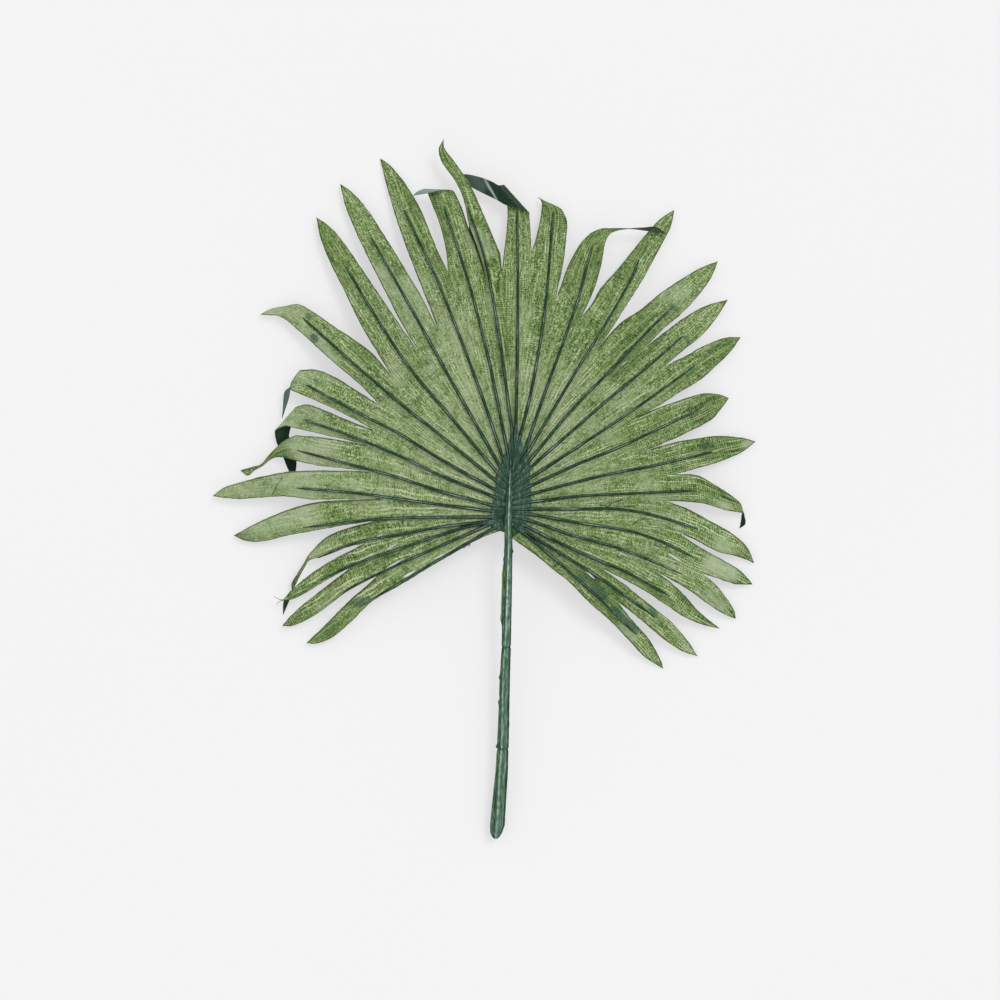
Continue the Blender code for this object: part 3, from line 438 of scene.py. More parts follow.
class Blade:
    """Plan and heights of one leaflet, from the hub to its tip."""

    def __init__(self, number):
        self.number = number
        self.leaflet = LEAFLETS[number]
        self.turned = self.leaflet.turned
        ends = [] if self.turned else [Vector(self.leaflet.tip)]
        edges = (self.leaflet.first, self.leaflet.second)
        self.sides = [self.side(number + which, edge, ends) for which, edge in enumerate(edges)]
        self.rib = smooth(self.leaflet.rib)
        self.rib_end = station(self.leaflet.rib[-1])
        self.ends = [station(side[-1]) for side in self.sides]
        self.reach = sum(self.ends) / 2
        self.shared = max(station(self.notch(number)), station(self.notch(number + 1))) + 1.0
        self.fall = (HUB_HEIGHT - self.leaflet.end_height) / (self.reach - FLAT_RADIUS) ** 2

    def notch(self, number):
        """Where a side's own cut edge starts: at a notch, or at the hub on a margin."""
        if 0 < number < len(LEAFLETS):
            return Vector(NOTCHES[number - 1])
        return hub_edge(number)

    def side(self, number, edge, ends):
        """One side of the leaflet: straight to the notch, then along the cut edge."""
        cut = smooth([self.notch(number)] + [Vector(point) for point in edge] + ends)
        return ([hub_edge(number)] if 0 < number < len(LEAFLETS) else []) + cut

    def height(self, distance):
        """Height of the rib line, level at the hub and falling towards the tip."""
        return HUB_HEIGHT - self.fall * max(0.0, distance - FLAT_RADIUS) ** 2

    def edge_height(self, which, distance, neighbour):
        """Height of a side: lower than the rib line, and shared with the neighbour as far as the notch."""
        pleat = PLEAT * unit((distance - PLEAT_START) / PLEAT_GROWTH)
        own = self.height(distance) - pleat * unit((self.reach - distance) / PLEAT_END)
        if neighbour is None:
            return own
        both = (own + neighbour.height(distance) - pleat) / 2
        past_notch = (distance - station(self.notch(self.number + which))) / PLEAT_END
        return both + (own - both) * unit(past_notch)

    def local(self, which, distance):
        """Distance along one side: past the notches it is stretched, so that both sides end together."""
        if distance <= self.shared:
            return distance
        part = (distance - self.shared) / (self.reach - self.shared)
        return self.shared + part * (self.ends[which] - self.shared)

    def edge(self, which, distance, neighbour=None):
        """Point of a side in space."""
        along = self.local(which, distance)
        plan = at_station(self.sides[which], along)
        return Vector((plan.x, plan.y, self.edge_height(which, along, neighbour)))

    def sides_at(self, distance):
        """Plan points of both sides."""
        return [at_station(self.sides[which], self.local(which, distance)) for which in (0, 1)]

    def middle(self, distance):
        """Point of the line under the rib, kept inside the leaflet."""
        first, second = self.sides_at(distance)
        chord = second - first
        if chord.length < 0.01:
            return Vector((first.x, first.y, self.height(distance)))
        share = self.rib_share(min(distance, self.rib_end))
        if distance > self.rib_end:
            share += (0.5 - share) * (distance - self.rib_end) / max(1.0, self.reach - self.rib_end)
        plan = first + chord * share
        return Vector((plan.x, plan.y, self.height(distance)))

    def rib_share(self, distance):
        """Where the rib crosses the leaflet: 0 at its first side, 1 at its second."""
        first, second = self.sides_at(distance)
        chord = second - first
        share = (at_station(self.rib, distance) - first).dot(chord) / chord.length_squared
        return min(0.88, max(0.12, share))


def rows_between(start, end):
    """Distances of the detailed mesh's rows that lie between two distances."""
    first = math.floor(start / STEP) + 1
    rows = [STEP * index for index in range(first, int(end / STEP) + 1)]
    return [row for row in rows if start + 0.5 * STEP < row < end - 0.5 * STEP]


def ragged(point, outward):
    """A cut edge, slightly uneven where threads come loose."""
    wobble = noise.noise(Vector((point.x, point.y, 3.0)) * 0.9) * 0.16
    wobble += noise.noise(Vector((point.x, point.y, 9.0)) * 0.24) * 0.14
    return point + outward * wobble


def cockle(point, share):
    """Height that the fabric is puffed up or drawn in, between the rib and the side."""
    window = max(0.0, 4.0 * share * (1.0 - share)) ** 0.7
    slow = noise.noise(Vector((point.x * 0.045, point.y * 0.045, 1.0)))
    quick = noise.noise(Vector((point.x * 0.16, point.y * 0.16, 7.0)))
    return window * (0.45 * slow + 0.22 * quick)


class Sheet:
    """The fabric as one fine surface, with the place of each corner on its leaflet."""

    def __init__(self):
        self.mesh = bmesh.new()
        self.place = self.mesh.loops.layers.uv.new("leaflet")
        self.rim = self.mesh.loops.layers.uv.new("rim")
        self.marks = self.mesh.verts.layers.float_color.new("marks")

    def vertex(self, point, mark=True):
        vertex = self.mesh.verts.new((point + SHIFT) * MM)
        flat = Vector(point[:2])
        vertex[self.marks] = [marked(flat, marks) if mark else 0.0 for marks in (GLUE, DARK_PATCHES, PALES, FOLD_SHEENS)]
        return vertex

    def face(self, corners):
        """A triangle, each corner of it a vertex with its place along and across the leaflet."""
        if len({corner[0] for corner in corners}) < 3:
            return
        face = self.mesh.faces.new([corner[0] for corner in corners])
        face.smooth = True
        for loop, (_, place) in zip(face.loops, corners):
            loop[self.place].uv = place[:2]
            loop[self.rim].uv = (place[2], 0.0)

    def bridge(self, left, right):
        """Triangles between two lines of points, each a list of distances, vertices and places."""
        i = j = 0
        while i < len(left) - 1 or j < len(right) - 1:
            grow_right = i == len(left) - 1
            if j < len(right) - 1 and not grow_right:
                grow_right = right[j + 1][0] <= left[i + 1][0] + 1e-6
            corners = [left[i][1:], right[j][1:]]
            if grow_right:
                j += 1
                corners.append(right[j][1:])
            else:
                i += 1
                corners.append(left[i][1:])
            self.face(corners)


def slit_sides(lines, shares):
    """Parts two copies of the line nearest to each slit, so that the surface below shows."""
    parted = {}
    for start, end, half in SLITS:
        start, end = sorted((start, end), key=station)
        low, high = station(start), station(end)
        start, end = Vector(start), Vector(end)
        near = []
        for index in range(1, len(lines) - 1):
            for row, point in lines[index]:
                if shares[index] and abs(row - (low + high) / 2) < STEP * 0.6:
                    near.append((capsule(Vector(point[:2]), start, end), index))
        if not near or min(near)[0] > 1.0:
            continue
        index = min(near)[1]
        line = lines[index]
        other, spans = parted.setdefault(index, ([(row, point.copy()) for row, point in line], []))
        spans.append((low, high))
        middle = (start + end) / 2
        across = (end - start).orthogonal().normalized()
        gaps = [Vector(point[:2]) - middle for _, point in lines[index + 1]]
        if min(gaps, key=lambda gap: gap.length).dot(across) < 0:
            across = -across
        for place, (row, point) in enumerate(line):
            if low < row < high:
                part = (row - low) / (high - low)
                target = start.lerp(end, part)
                open_by = half * math.sin(math.pi * part) ** 0.6
                line[place] = (row, Vector((*(target - across * open_by), point.z)))
                other[place] = (row, Vector((*(target + across * open_by), point.z)))
    return parted


def add_tip(blade, lines, shares):
    """Carries the lines of points on to the leaflet's tip, round the folds of a turned one."""
    tip = Vector(blade.leaflet.tip)
    if not blade.turned:
        for line in lines:
            line.append((blade.reach, Vector((tip.x, tip.y, blade.leaflet.end_height))))
        return
    controls = [[line[place][1] for line in (lines[0], lines[-1])] for place in (-2, -1)]
    controls += [[Vector(a), Vector(b)] for a, b in blade.turned] + [[tip, tip]]
    curves = [smooth([pair[which] for pair in controls], 5)[6:] for which in (0, 1)]
    along = 0.0
    for first, second in zip(*curves):
        middle = (first + second) / 2
        along += (middle - (lines[0][-1][1] + lines[-1][-1][1]) / 2).length
        for line, share in zip(lines, shares):
            line.append((blade.reach + along, middle.lerp(second if share > 0 else first, abs(share))))


def build_leaflet(sheet, blades, number, valleys):
    """The fine surface of one leaflet, between the lines that it shares with its neighbours."""
    blade = blades[number]
    neighbours = [blades[n] if 0 <= n < len(blades) else None for n in (number - 1, number + 1)]
    hub_point = Vector((*blade.leaflet.rib[0], HUB_HEIGHT))
    hub_ends = [Vector((*hub_edge(number + which), HUB_HEIGHT)) for which in (0, 1)]
    start = max(station(point) for point in (hub_point, *hub_ends))
    rows = rows_between(start, blade.reach)
    shares = [-1.0] + [-share for share in reversed(RAILS)] + [0.0, *RAILS, 1.0]
    lines = [[(start - 0.5, hub_point.lerp(hub_ends[share > 0], abs(share)))] for share in shares]
    for row in rows + [blade.reach] * bool(blade.turned):
        middle = blade.middle(row)
        sides = [blade.edge(which, row, neighbours[which]) for which in (0, 1)]
        from_hub = min(1.0, (row - start) / 12.0)
        from_tip = min(1.0, (blade.reach - row) / 8.0)
        for line, share in zip(lines, shares):
            point = middle.lerp(sides[share > 0], abs(share))
            point.z += cockle(point, abs(share)) * from_hub * from_tip
            line.append((row, point))
    add_tip(blade, lines, shares)
    parted = slit_sides(lines, shares)
    width_at = {row: (second - first).length for (row, first), (_, second) in zip(lines[0], lines[-1])}

    def corner_list(index, line):
        result = []
        share = shares[index]
        for row, point in line:
            half = max(width_at[row], 0.2) / 2
            cut = row > station(blade.notch(number + int(share > 0))) - 0.5
            rim = (1.0 - abs(share)) * half if cut else UNCUT
            result.append((row, point, (row / 1000, (share * half + LEAFLET_STEP * number) / 1000, rim)))
        return result

    def vertices(index, line, twin=None, spans=()):
        result = []
        for at, (row, point, place) in enumerate(corner_list(index, line)):
            apart = not twin or any(low < row < high for low, high in spans)
            result.append((row, sheet.vertex(point) if apart else twin[at][1], place))
        return result

    tip_vertex = sheet.vertex(lines[0][-1][1])
    across = (lines[-1][3][1] - lines[0][3][1]).to_2d().normalized().to_3d()
    built = []
    for index, line in enumerate(lines):
        if index in (0, len(lines) - 1):
            which = int(index > 0)
            corners = corner_list(index, line)[1:]
            shared = valleys[number + which]
            side = [(row, vertex, (row / 1000, place_v(corners, row), UNCUT)) for row, vertex in shared]
            for row, point, place in corners:
                if row > shared[-1][0] + 0.5 * STEP:
                    if row < blade.reach:
                        point = ragged(point, across if which else -across)
                    side.append((row, sheet.vertex(point), place))
            built.append((side, side))
        else:
            left = right = vertices(index, line)
            if index in parted:
                other, spans = parted[index]
                right = vertices(index, other, left, spans)
            built.append((left, right))
    for side in (side for pair in built for side in pair):
        side[-1] = (side[-1][0], tip_vertex, side[-1][2])
    for (_, left), (right, _) in zip(built, built[1:]):
        sheet.bridge(left, right)
    return [side[0][1] for side, _ in built]


def place_v(corners, row):
    """Place across the leaflet of a side point, from the nearest row."""
    return min(corners, key=lambda corner: abs(corner[0] - row))[2][1]


def add_gap_shade_strip(sheet, blades):
    """A dark strip of fabric along a cut, just below the gap, standing in for the shade in it."""
    curve = smooth(GAP_SHADE_STRIP, 4)
    last = len(curve) - 1
    pairs = []
    for index, point in enumerate(curve):
        across = (curve[min(index + 1, last)] - curve[max(index - 1, 0)]).orthogonal().normalized()
        row = station(point)
        height = min(blades[SHADE_STRIP_GAP].edge(1, row).z, blades[SHADE_STRIP_GAP + 1].edge(0, row).z) - 0.9
        width = 1.1 * min(1.0, 0.2 + index / 5, 0.2 + (last - index) / 5)
        spots = [Vector((*(point + across * width * side), height)) for side in (-1, 1)]
        pairs.append([sheet.vertex(spot, mark=False) for spot in spots])
    for (a, b), (c, d) in zip(pairs, pairs[1:]):
        for corners in ((a, c, b), (b, c, d)):
            face = sheet.mesh.faces.new(corners)
            face.normal_update()
            if face.normal.z > 0:
                face.normal_flip()


def build_fabric(blades):
    """The whole sheet, to be thickened on its front side."""
    sheet = Sheet()
    valleys = []
    for number in range(len(LEAFLETS) + 1):
        ring = hub_edge(number)
        line = [(station(ring), sheet.vertex(Vector((*ring, HUB_HEIGHT))))]
        if 0 < number < len(LEAFLETS):
            bottom = station(NOTCHES[number - 1])
            for row in rows_between(line[0][0], bottom) + [bottom]:
                line.append((row, sheet.vertex(blades[number - 1].edge(1, row, blades[number]))))
        valleys.append(line)
    ring = []
    for number in range(len(blades)):
        ring += build_leaflet(sheet, blades, number, valleys)[:-1]
    ring.append(valleys[-1][0][1])

    # Under the hub the sheet goes on, in rings, to a point off its centre
    centre = Vector((HUB_CENTRE.x, HUB_CENTRE.y - 2.0, HUB_HEIGHT))
    inner = ring
    for share in (0.72, 0.44, 0.2):
        further = [sheet.vertex(centre.lerp(vertex.co / MM - SHIFT, share), mark=False) for vertex in ring]
        for index in range(len(ring) - 1):
            for corners in ((inner[index], further[index], further[index + 1]),
                            (inner[index], further[index + 1], inner[index + 1])):
                sheet.face([(vertex, (0.001 * index, 0.0, UNCUT)) for vertex in corners])
        inner = further
    for index in range(1, len(inner) - 1):
        sheet.face([(vertex, (0.0, 0.0, UNCUT)) for vertex in (inner[0], inner[index + 1], inner[index])])
    add_gap_shade_strip(sheet, blades)
    bmesh.ops.delete(sheet.mesh, geom=[vertex for vertex in sheet.mesh.verts if not vertex.link_faces],
                     context="VERTS")
    return sheet.mesh


# Lengthwise ridge of the stem that catches the light: y, and its distance from the stem's axis
RIDGE = [
    (15, 0), (-10, 0.2), (-50, 0), (-65, -0.3), (-80, -0.9), (-100, -0.9), (-127, -0.6), (-137, -1),
    (-152, -0.5), (-169.5, 0),
]

# Nubs, nicks and steps on the stem: y, angle round it in degrees, height and reach
NUBS = [
    (-88.5, 180, 0.5, 0.9), (-101, 175, 0.45, 1.1), (-99, 178, -0.5, 0.8), (-123.2, 180, 0.7, 0.9),
    (-25.5, 0, 0.6, 0.8), (-29.5, 180, 0.35, 0.9), (-4, 130, -0.5, 1), (-60.5, 178, 0.5, 1.8),
    (-120.5, 60, 0.3, 1.1), (-40, 60, 0.15, 2), (-145, 120, 0.25, 2.5), (-112, 30, 0.2, 2),
]
STEM_SIDES = 96
GROOVES = (-73.4, -124.5)

# A rib's section, across it and up, the step along it and its height above the fabric's middle
RIB_SECTION = (
    (0.5, 0.0), (0.49, 0.3), (0.4, 0.62), (0.3, 0.8), (0.16, 0.95), (0.0, 1.0), (-0.16, 0.95), (-0.3, 0.8),
    (-0.4, 0.62), (-0.49, 0.3), (-0.5, 0.0),
)
RIB_STEP = 1.2
RIB_LIFT = 0.04

# Rings of the web between the ribs: how far out from the hub's ridge, and how high
PLATE_RINGS = ((1.0, 0.06), (1.0, 0.35), (0.93, 0.75), (0.7, 1.0), (0.35, 1.15))


def along_table(table, y):
    """Values of a table at a height y, in between its lines, which run towards smaller y."""
    for above, below in zip(table, table[1:]):
        if y >= below[0]:
            part = unit((above[0] - y) / (above[0] - below[0]))
            return [a + (b - a) * part for a, b in zip(above[1:], below[1:])]
    return list(table[-1][1:])


def dent(value, middle, reach):
    """A smooth bump of height 1 round a middle."""
    part = (value - middle) / reach
    return math.exp(-part * part)


def swept(mesh, sections):
    """A closed body through rings of points: its rings of vertices, and its faces."""
    rings = [[mesh.verts.new((point + SHIFT) * MM) for point in section] for section in sections]
    faces = []
    for ring, following in zip(rings, rings[1:]):
        for index in range(len(ring)):
            other = (index + 1) % len(ring)
            faces.append(mesh.faces.new((ring[index], ring[other], following[other], following[index])))
    faces.append(mesh.faces.new(list(reversed(rings[0]))))
    faces.append(mesh.faces.new(rings[-1]))
    return rings, faces


class Moulding:
    """One mesh of several closed bodies, with a second material for the flash."""

    def __init__(self):
        self.mesh = bmesh.new()
        self.relief = self.mesh.verts.layers.float_color.new("relief")

    def sweep(self, sections, relief=None):
        """A body through rings of points; relief gives each point its painted highlight, its painted shade
        and how like the stem it is.
        """
        rings, faces = swept(self.mesh, sections)
        for ring, tones in zip(rings, relief or ()):
            for vertex, tone in zip(ring, tones):
                vertex[self.relief] = (*tone, 1.0)
        for face in faces:
            face.smooth = True
            face.material_index = 0 if relief else 1


def stem_stops():
    """Places of the stem's rings along it, closer at its grooves and its end."""
    y = STEM[0][0]
    stops = []
    while y > STEM[-1][0]:
        stops.append(y)
        close = y < -160.0 or any(abs(y - groove) < 1.4 for groove in GROOVES)
        y -= 0.3 if close else 0.9
    return stops + [STEM[-1][0]]


def stem_sections():
    """Rings of the stem, with its ridges, grooves, nubs and unevenness, and their tones: painted highlight,
    painted shade and share of stem colour.
    """
    sections = []
    tones = []
    for y in stem_stops():
        x, diameter, height = along_table(STEM, y)
        offset = along_table(RIDGE, y)[0]
        radius = diameter / 2
        centre = Vector((x, y, height))
        ridge, second, groove = (math.acos(max(-0.9, min(0.9, (offset + radius * share) / radius)))
                                 for share in (0.0, 0.72, -0.42))
        body = unit((4.0 - y) / 20.0)
        ring = []
        tone = []
        for index in range(STEM_SIDES):
            angle = 2 * math.pi * index / STEM_SIDES
            out = 0.05 * dent(angle, ridge, 0.13) + 0.035 * dent(angle, second, 0.12)
            out -= 0.05 * dent(angle, groove, 0.15)
            out = radius * (1.0 + body * out)
            spot = Vector((math.cos(angle) * radius, y, math.sin(angle) * radius))
            drawn = Vector((spot.x, spot.y * 0.4, spot.z))
            out += 0.07 * noise.noise(spot * 0.45) + 0.05 * noise.noise(drawn * 1.6)
            for nub_y, nub_angle, nub_height, nub_reach in NUBS:
                if abs(y - nub_y) < 3 * nub_reach:
                    turn = abs((angle - math.radians(nub_angle) + math.pi) % (2 * math.pi) - math.pi) * radius
                    out += nub_height * dent(y, nub_y, nub_reach) * dent(turn, 0.0, nub_reach)
            side = math.cos(angle)
            ring.append(centre + Vector((side, 0.0, math.sin(angle))) * out)

            # Painted highlight along the ridges, strongest at a few places, and painted shade on the right
            # side and in the grooves
            fade = 0.75 + 0.25 * noise.noise(Vector((0.0, y * 0.09, 1.5))) + 0.7 * dent(y, 4.0, 14.0)
            fade += 0.8 * dent(y, -42.0, 14.0) + 0.5 * dent(y, -57.0, 7.0)
            pale = fade * dent(angle, ridge, 0.12) + 0.22 * dent(angle, second, 0.1)
            pale += (0.06 + 0.3 * dent(y, -57.0, 7.0)) * dent(angle, 0.5 * (ridge + second), 0.35)
            ringed = max(dent(y, groove_y, 0.45) for groove_y in GROOVES)
            dark = 0.9 * unit((side - 0.62) / 0.2) + 0.4 * unit((-side - 0.84) / 0.12)
            dark = body * dark + 0.45 * dent(angle, groove, 0.12) + 0.4 * ringed
            in_stem = 1.0 if y < -14.0 else max(0.35, 1.0 - (y + 14.0) / 14.0)
            tone.append((pale * (1.0 - 0.7 * ringed), min(1.0, dark), in_stem))
        sections.append(ring)
        tones.append(tone)
    return sections, tones


def flash_sections():
    """Thin fin of spilt plastic along the stem's left side."""
    sections = []
    last = 41
    for index in range(last + 1):
        y = -30.5 - index * 0.8
        x, diameter, height = along_table(STEM, y)
        part = index / last
        reach = 0.6 + 0.2 * noise.noise(Vector((0.0, y * 0.5, 0.0)))
        reach += 0.75 * dent(y, -60.0, 2.4) + 0.2 * dent(y, -52.0, 2.0)
        reach *= min(1.0, 6 * part, 6 * (1.0 - part))
        inner = Vector((x - diameter / 2 + 0.12, y, height))
        outer = Vector((x - diameter / 2 - max(reach, 0.02), y, height - 0.1))
        thick, thin = Vector((0, 0, 0.2)), Vector((0, 0, 0.06))
        sections.append([inner + thick, inner - thick, outer - thin, outer + thin])
    return sections


def hub_axis(point):
    """Where a rib meets the ridge that runs up the hub."""
    y = -12.0 + (point[1] + 16.0) * 0.6
    return Vector((4.0 + (y + 12.5) / 15.0, y))


def rib_path(blade, root):
    """A rib's course seen from above: points, and their distances where they are past the hub."""
    hub_point = Vector(blade.leaflet.rib[0])
    path = [(root.lerp(hub_point, step / 8), None) for step in range(9)]
    row = station(hub_point) + RIB_STEP
    while row < blade.rib_end:
        path.append((at_station(blade.rib, row), row))
        row += RIB_STEP
    return path + [(at_station(blade.rib, blade.rib_end), blade.rib_end)]


def rib_sections(blade):
    """One rib, from the hub's ridge to where it dies out on its leaflet, and its tones of painted highlight
    and shade.
    """
    hub_point = Vector(blade.leaflet.rib[0])
    root = hub_axis(hub_point)
    path = rib_path(blade, root)
    span = (hub_point - root).length
    total = span + blade.rib_end - station(hub_point)
    sections = []
    tones = []
    travelled = 0.0
    for index, (plan, row) in enumerate(path):
        if index:
            travelled += (plan - path[index - 1][0]).length
        ahead = path[min(index + 1, len(path) - 1)][0] - path[max(index - 1, 0)][0]
        across = Vector((-ahead.y, ahead.x, 0.0)).normalized()
        shine = noise.noise(Vector((travelled * 0.09, blade.number * 5.1, 2.0)))
        if row is None:
            part = travelled / max(span, 0.1)
            width = 1.1 + 0.65 * min(1.0, part)
            tall = 1.75 - 0.2 * part
            height = HUB_HEIGHT
            shine = 0.3 * part
        else:
            part = min(1.0, travelled / total)
            end = unit((total - travelled) / 5.0)
            width = (1.75 - 0.65 * part) * (0.45 + 0.55 * end ** 0.5)
            tall = (1.55 - 0.7 * part) * (0.25 + 0.75 * end)
            height = blade.height(row)
            shine = min(0.7, max(0.0, 0.12 + 1.3 * shine))
        width *= 1.0 + 0.10 * noise.noise(Vector((travelled * 0.35, blade.number * 3.7, 0.0)))
        tall *= 1.0 + 0.08 * noise.noise(Vector((travelled * 0.5, blade.number * 1.9, 5.0)))
        centre = Vector((plan.x, plan.y, height + RIB_LIFT))
        sections.append([centre + across * width * side + Vector((0, 0, tall * up))
                         for side, up in RIB_SECTION])

        # Painted highlight along the top and painted shade at the feet; the flank that faces away from the
        # light is darker
        lit = across.x * 0.6 + across.y * 0.8
        ring = []
        for side, _ in RIB_SECTION:
            dark = (0.9 if side * lit < 0 else 0.5) * (0.7 if row is None else 1.0)
            ring.append((shine * dent(side, 0.05, 0.13), dark * unit((abs(side) - 0.18) / 0.2), 0.0))
        tones.append(ring)
    return sections, tones


def plate_sections():
    """The web between the roots of the ribs, dished down at its rim."""
    outline = [hub_edge(0)]
    for number, leaflet in enumerate(LEAFLETS):
        outline += [Vector(leaflet.rib[0]), hub_edge(number + 1)]
    outline[-1] = outline[-1].lerp(hub_axis(outline[-1]), 0.35)
    return [[Vector((*hub_axis(point).lerp(point, share), HUB_HEIGHT + height)) for point in outline]
            for share, height in PLATE_RINGS]


def build_moulding(blades):
    """Stem, hub and ribs."""
    moulding = Moulding()
    moulding.sweep(*stem_sections())
    plate = plate_sections()
    moulding.sweep(plate, [[(0.05, 0.0, 0.6)] * len(ring) for ring in plate])
    for blade in blades:
        moulding.sweep(*rib_sections(blade))
    moulding.sweep(flash_sections())
    bmesh.ops.recalc_face_normals(moulding.mesh, faces=moulding.mesh.faces[:])
    return moulding.mesh


def build_threads(blades):
    """Loose threads where the cut fabric has frayed."""
    threads = bmesh.new()
    generator = random.Random(7)
    roots = [(Vector(root), math.radians(turn), length, 0.26) for root, turn, length in THREADS]
    for blade in blades:
        for which in (0, 0, 0, 1, 1, 1):
            row = generator.uniform(station(blade.notch(blade.number + which)) + 8.0, blade.reach - 4.0)
            spot = blade.edge(which, row)
            ahead = blade.edge(which, row + 1.0) - spot
            turn = math.atan2(ahead.y, ahead.x) + generator.uniform(0.3, 0.9) * (-1 if which else 1)
            roots.append((spot.to_2d(), turn, generator.uniform(0.5, 1.2), 0.1))
    steps = 6
    corners = [2 * math.pi * corner / 5 for corner in range(5)]
    for root, turn, length, thick in roots:
        sides = [blade.edge(which, station(root)) for blade in blades for which in (0, 1)]
        height = min(sides, key=lambda point: (point.to_2d() - root).length).z - 0.2
        point = Vector((*root, height)) - Vector((math.cos(turn), math.sin(turn), 0.0)) * 0.3
        sections = []
        bend = generator.uniform(-0.5, 0.5)
        for step in range(steps + 1):
            across = Vector((-math.sin(turn), math.cos(turn), 0.0))
            size = thick * (1.0 - 0.6 * step / steps)
            sections.append([point + across * math.cos(angle) * size + Vector((0, 0, math.sin(angle) * size))
                             for angle in corners])
            turn += bend * length / steps * 0.6
            point = point + Vector((math.cos(turn), math.sin(turn), -0.12)) * length / steps
            point.z = max(point.z, 0.15)
        swept(threads, sections)
    bmesh.ops.recalc_face_normals(threads, faces=threads.faces[:])
    return threads


def srgb(red, green, blue):
    """A colour given as it shows on a screen, as the shader needs it."""
    def linear(value):
        value /= 255.0
        return value / 12.92 if value <= 0.04045 else ((value + 0.055) / 1.055) ** 2.4
    return (linear(red), linear(green), linear(blue), 1.0)


class Nodes:
    """Short calls for the nodes of one material."""

    def __init__(self, name):
        self.material = bpy.data.materials.new(name)
        self.material.use_nodes = True
        self.tree = self.material.node_tree
        self.shader = self.tree.nodes["Principled BSDF"]

    def put(self, node, inputs):
        """Sets or links a node's inputs, given by name or place."""
        for key, value in inputs.items():
            if isinstance(value, bpy.types.NodeSocket):
                self.tree.links.new(value, node.inputs[key])
            else:
                node.inputs[key].default_value = value

    def new(self, kind, inputs=None, **settings):
        node = self.tree.nodes.new(kind)
        for key, value in settings.items():
            setattr(node, key, value)
        self.put(node, inputs or {})
        return node

    def math(self, operation, a, b=0.0, clamp=False):
        return self.new("ShaderNodeMath", {0: a, 1: b}, operation=operation, use_clamp=clamp).outputs[0]

    def plus(self, a, b):
        return self.math("ADD", a, b)

    def minus(self, a, b, clamp=False):
        return self.math("SUBTRACT", a, b, clamp)

    def times(self, a, b, clamp=False):
        return self.math("MULTIPLY", a, b, clamp)

    def most(self, a, b):
        return self.math("MAXIMUM", a, b)

    def floor(self, a):
        return self.math("FLOOR", a)

    def summed(self, start, *terms, middle=0.0):
        """A value plus the swings of others round a middle, each with its weight."""
        for value, weight in terms:
            if middle:
                value = self.minus(value, middle)
            start = self.plus(start, self.times(value, weight))
        return start

    def vector(self, operation, inputs):
        return self.new("ShaderNodeVectorMath", inputs, operation=operation).outputs

    def range(self, value, low, high, to_low=0.0, to_high=1.0):
        """A smooth step from one value to another."""
        inputs = dict(enumerate((value, low, high, to_low, to_high)))
        return self.new("ShaderNodeMapRange", inputs, interpolation_type="SMOOTHSTEP").outputs[0]

    def mix(self, factor, a, b):
        return self.new("ShaderNodeMix", {0: factor, 6: a, 7: b}, data_type="RGBA").outputs[2]

    def layered(self, colour, *layers):
        """A colour with screen colours laid over it, each with its strength."""
        for strength, tone in layers:
            colour = self.mix(strength, colour, srgb(*tone))
        return colour

    def noise(self, vector, scale, detail=2.0, rough=0.5, distortion=0.0):
        return self.new("ShaderNodeTexNoise", {
            "Vector": vector, "Scale": scale, "Detail": detail, "Roughness": rough, "Distortion": distortion,
        }).outputs["Fac"]

    def white(self, x, y):
        """A random value for each pair of whole numbers."""
        inputs = {"Vector": self.joined(x, y)}
        return self.new("ShaderNodeTexWhiteNoise", inputs, noise_dimensions="2D").outputs["Value"]

    def scaled(self, vector, scale, move=(0.0, 0.0, 0.0)):
        return self.new("ShaderNodeMapping", {"Vector": vector, "Scale": scale, "Location": move}).outputs[0]

    def parts(self, vector):
        return self.new("ShaderNodeSeparateXYZ", {0: vector}).outputs

    def joined(self, x, y, z=0.0):
        return self.new("ShaderNodeCombineXYZ", {0: x, 1: y, 2: z}).outputs[0]

    def object_place(self):
        return self.new("ShaderNodeTexCoord").outputs["Object"]

    def attribute(self, name):
        return self.new("ShaderNodeAttribute", attribute_name=name).outputs

    def uv(self, name):
        return self.new("ShaderNodeUVMap", uv_map=name).outputs[0]

    def surface(self, colour, rough, specular=0.5):
        """Sets the shader's look and gives the material."""
        self.put(self.shader, {"Base Color": colour, "Roughness": rough, "Specular IOR Level": specular})
        return self.material

    def relief(self, height, distance, strength):
        """Fine relief of the surface."""
        bump = self.new("ShaderNodeBump", {"Height": height, "Distance": distance, "Strength": strength})
        self.put(self.shader, {"Normal": bump.outputs[0]})


def stripes(nodes, phase, outer, inner):
    """1 in the middle of each whole step of a phase and 0 towards its ends."""
    apart = nodes.math("ABSOLUTE", nodes.minus(nodes.math("FRACT", phase), 0.5))
    return nodes.range(apart, outer, inner)


def weave(nodes):
    """Place on a leaflet in millimetres, strength of the weave's lines and of its dashes, and stitches."""
    u, v, _ = nodes.parts(nodes.scaled(nodes.uv("leaflet"), (1000.0, 1000.0, 1000.0)))
    bent = nodes.times(nodes.minus(nodes.noise(nodes.joined(u, v), 0.07, 1.0), 0.5), 2.4)
    across = nodes.math("DIVIDE", nodes.plus(v, bent), LINE_STEP)
    along = nodes.math("DIVIDE", nodes.plus(u, bent), DASH_STEP)
    line = nodes.floor(across)
    dash = nodes.floor(along)
    kept = nodes.noise(nodes.joined(nodes.times(u, 0.045), nodes.times(line, 5.3)), 1.0, 1.0)
    stripe = stripes(nodes, across, 0.32, 0.1)
    lines = nodes.times(stripe, nodes.range(kept, 0.36, 0.66))
    dashes = nodes.times(stripes(nodes, along, 0.4, 0.12), nodes.white(line, dash))
    dashes = nodes.times(dashes, nodes.range(stripe, 0.0, 1.0, 1.0, 0.35))
    stitch = nodes.white(nodes.floor(nodes.times(across, 2.5)), nodes.floor(nodes.times(along, 2.0)))
    return u, v, lines, dashes, stitch


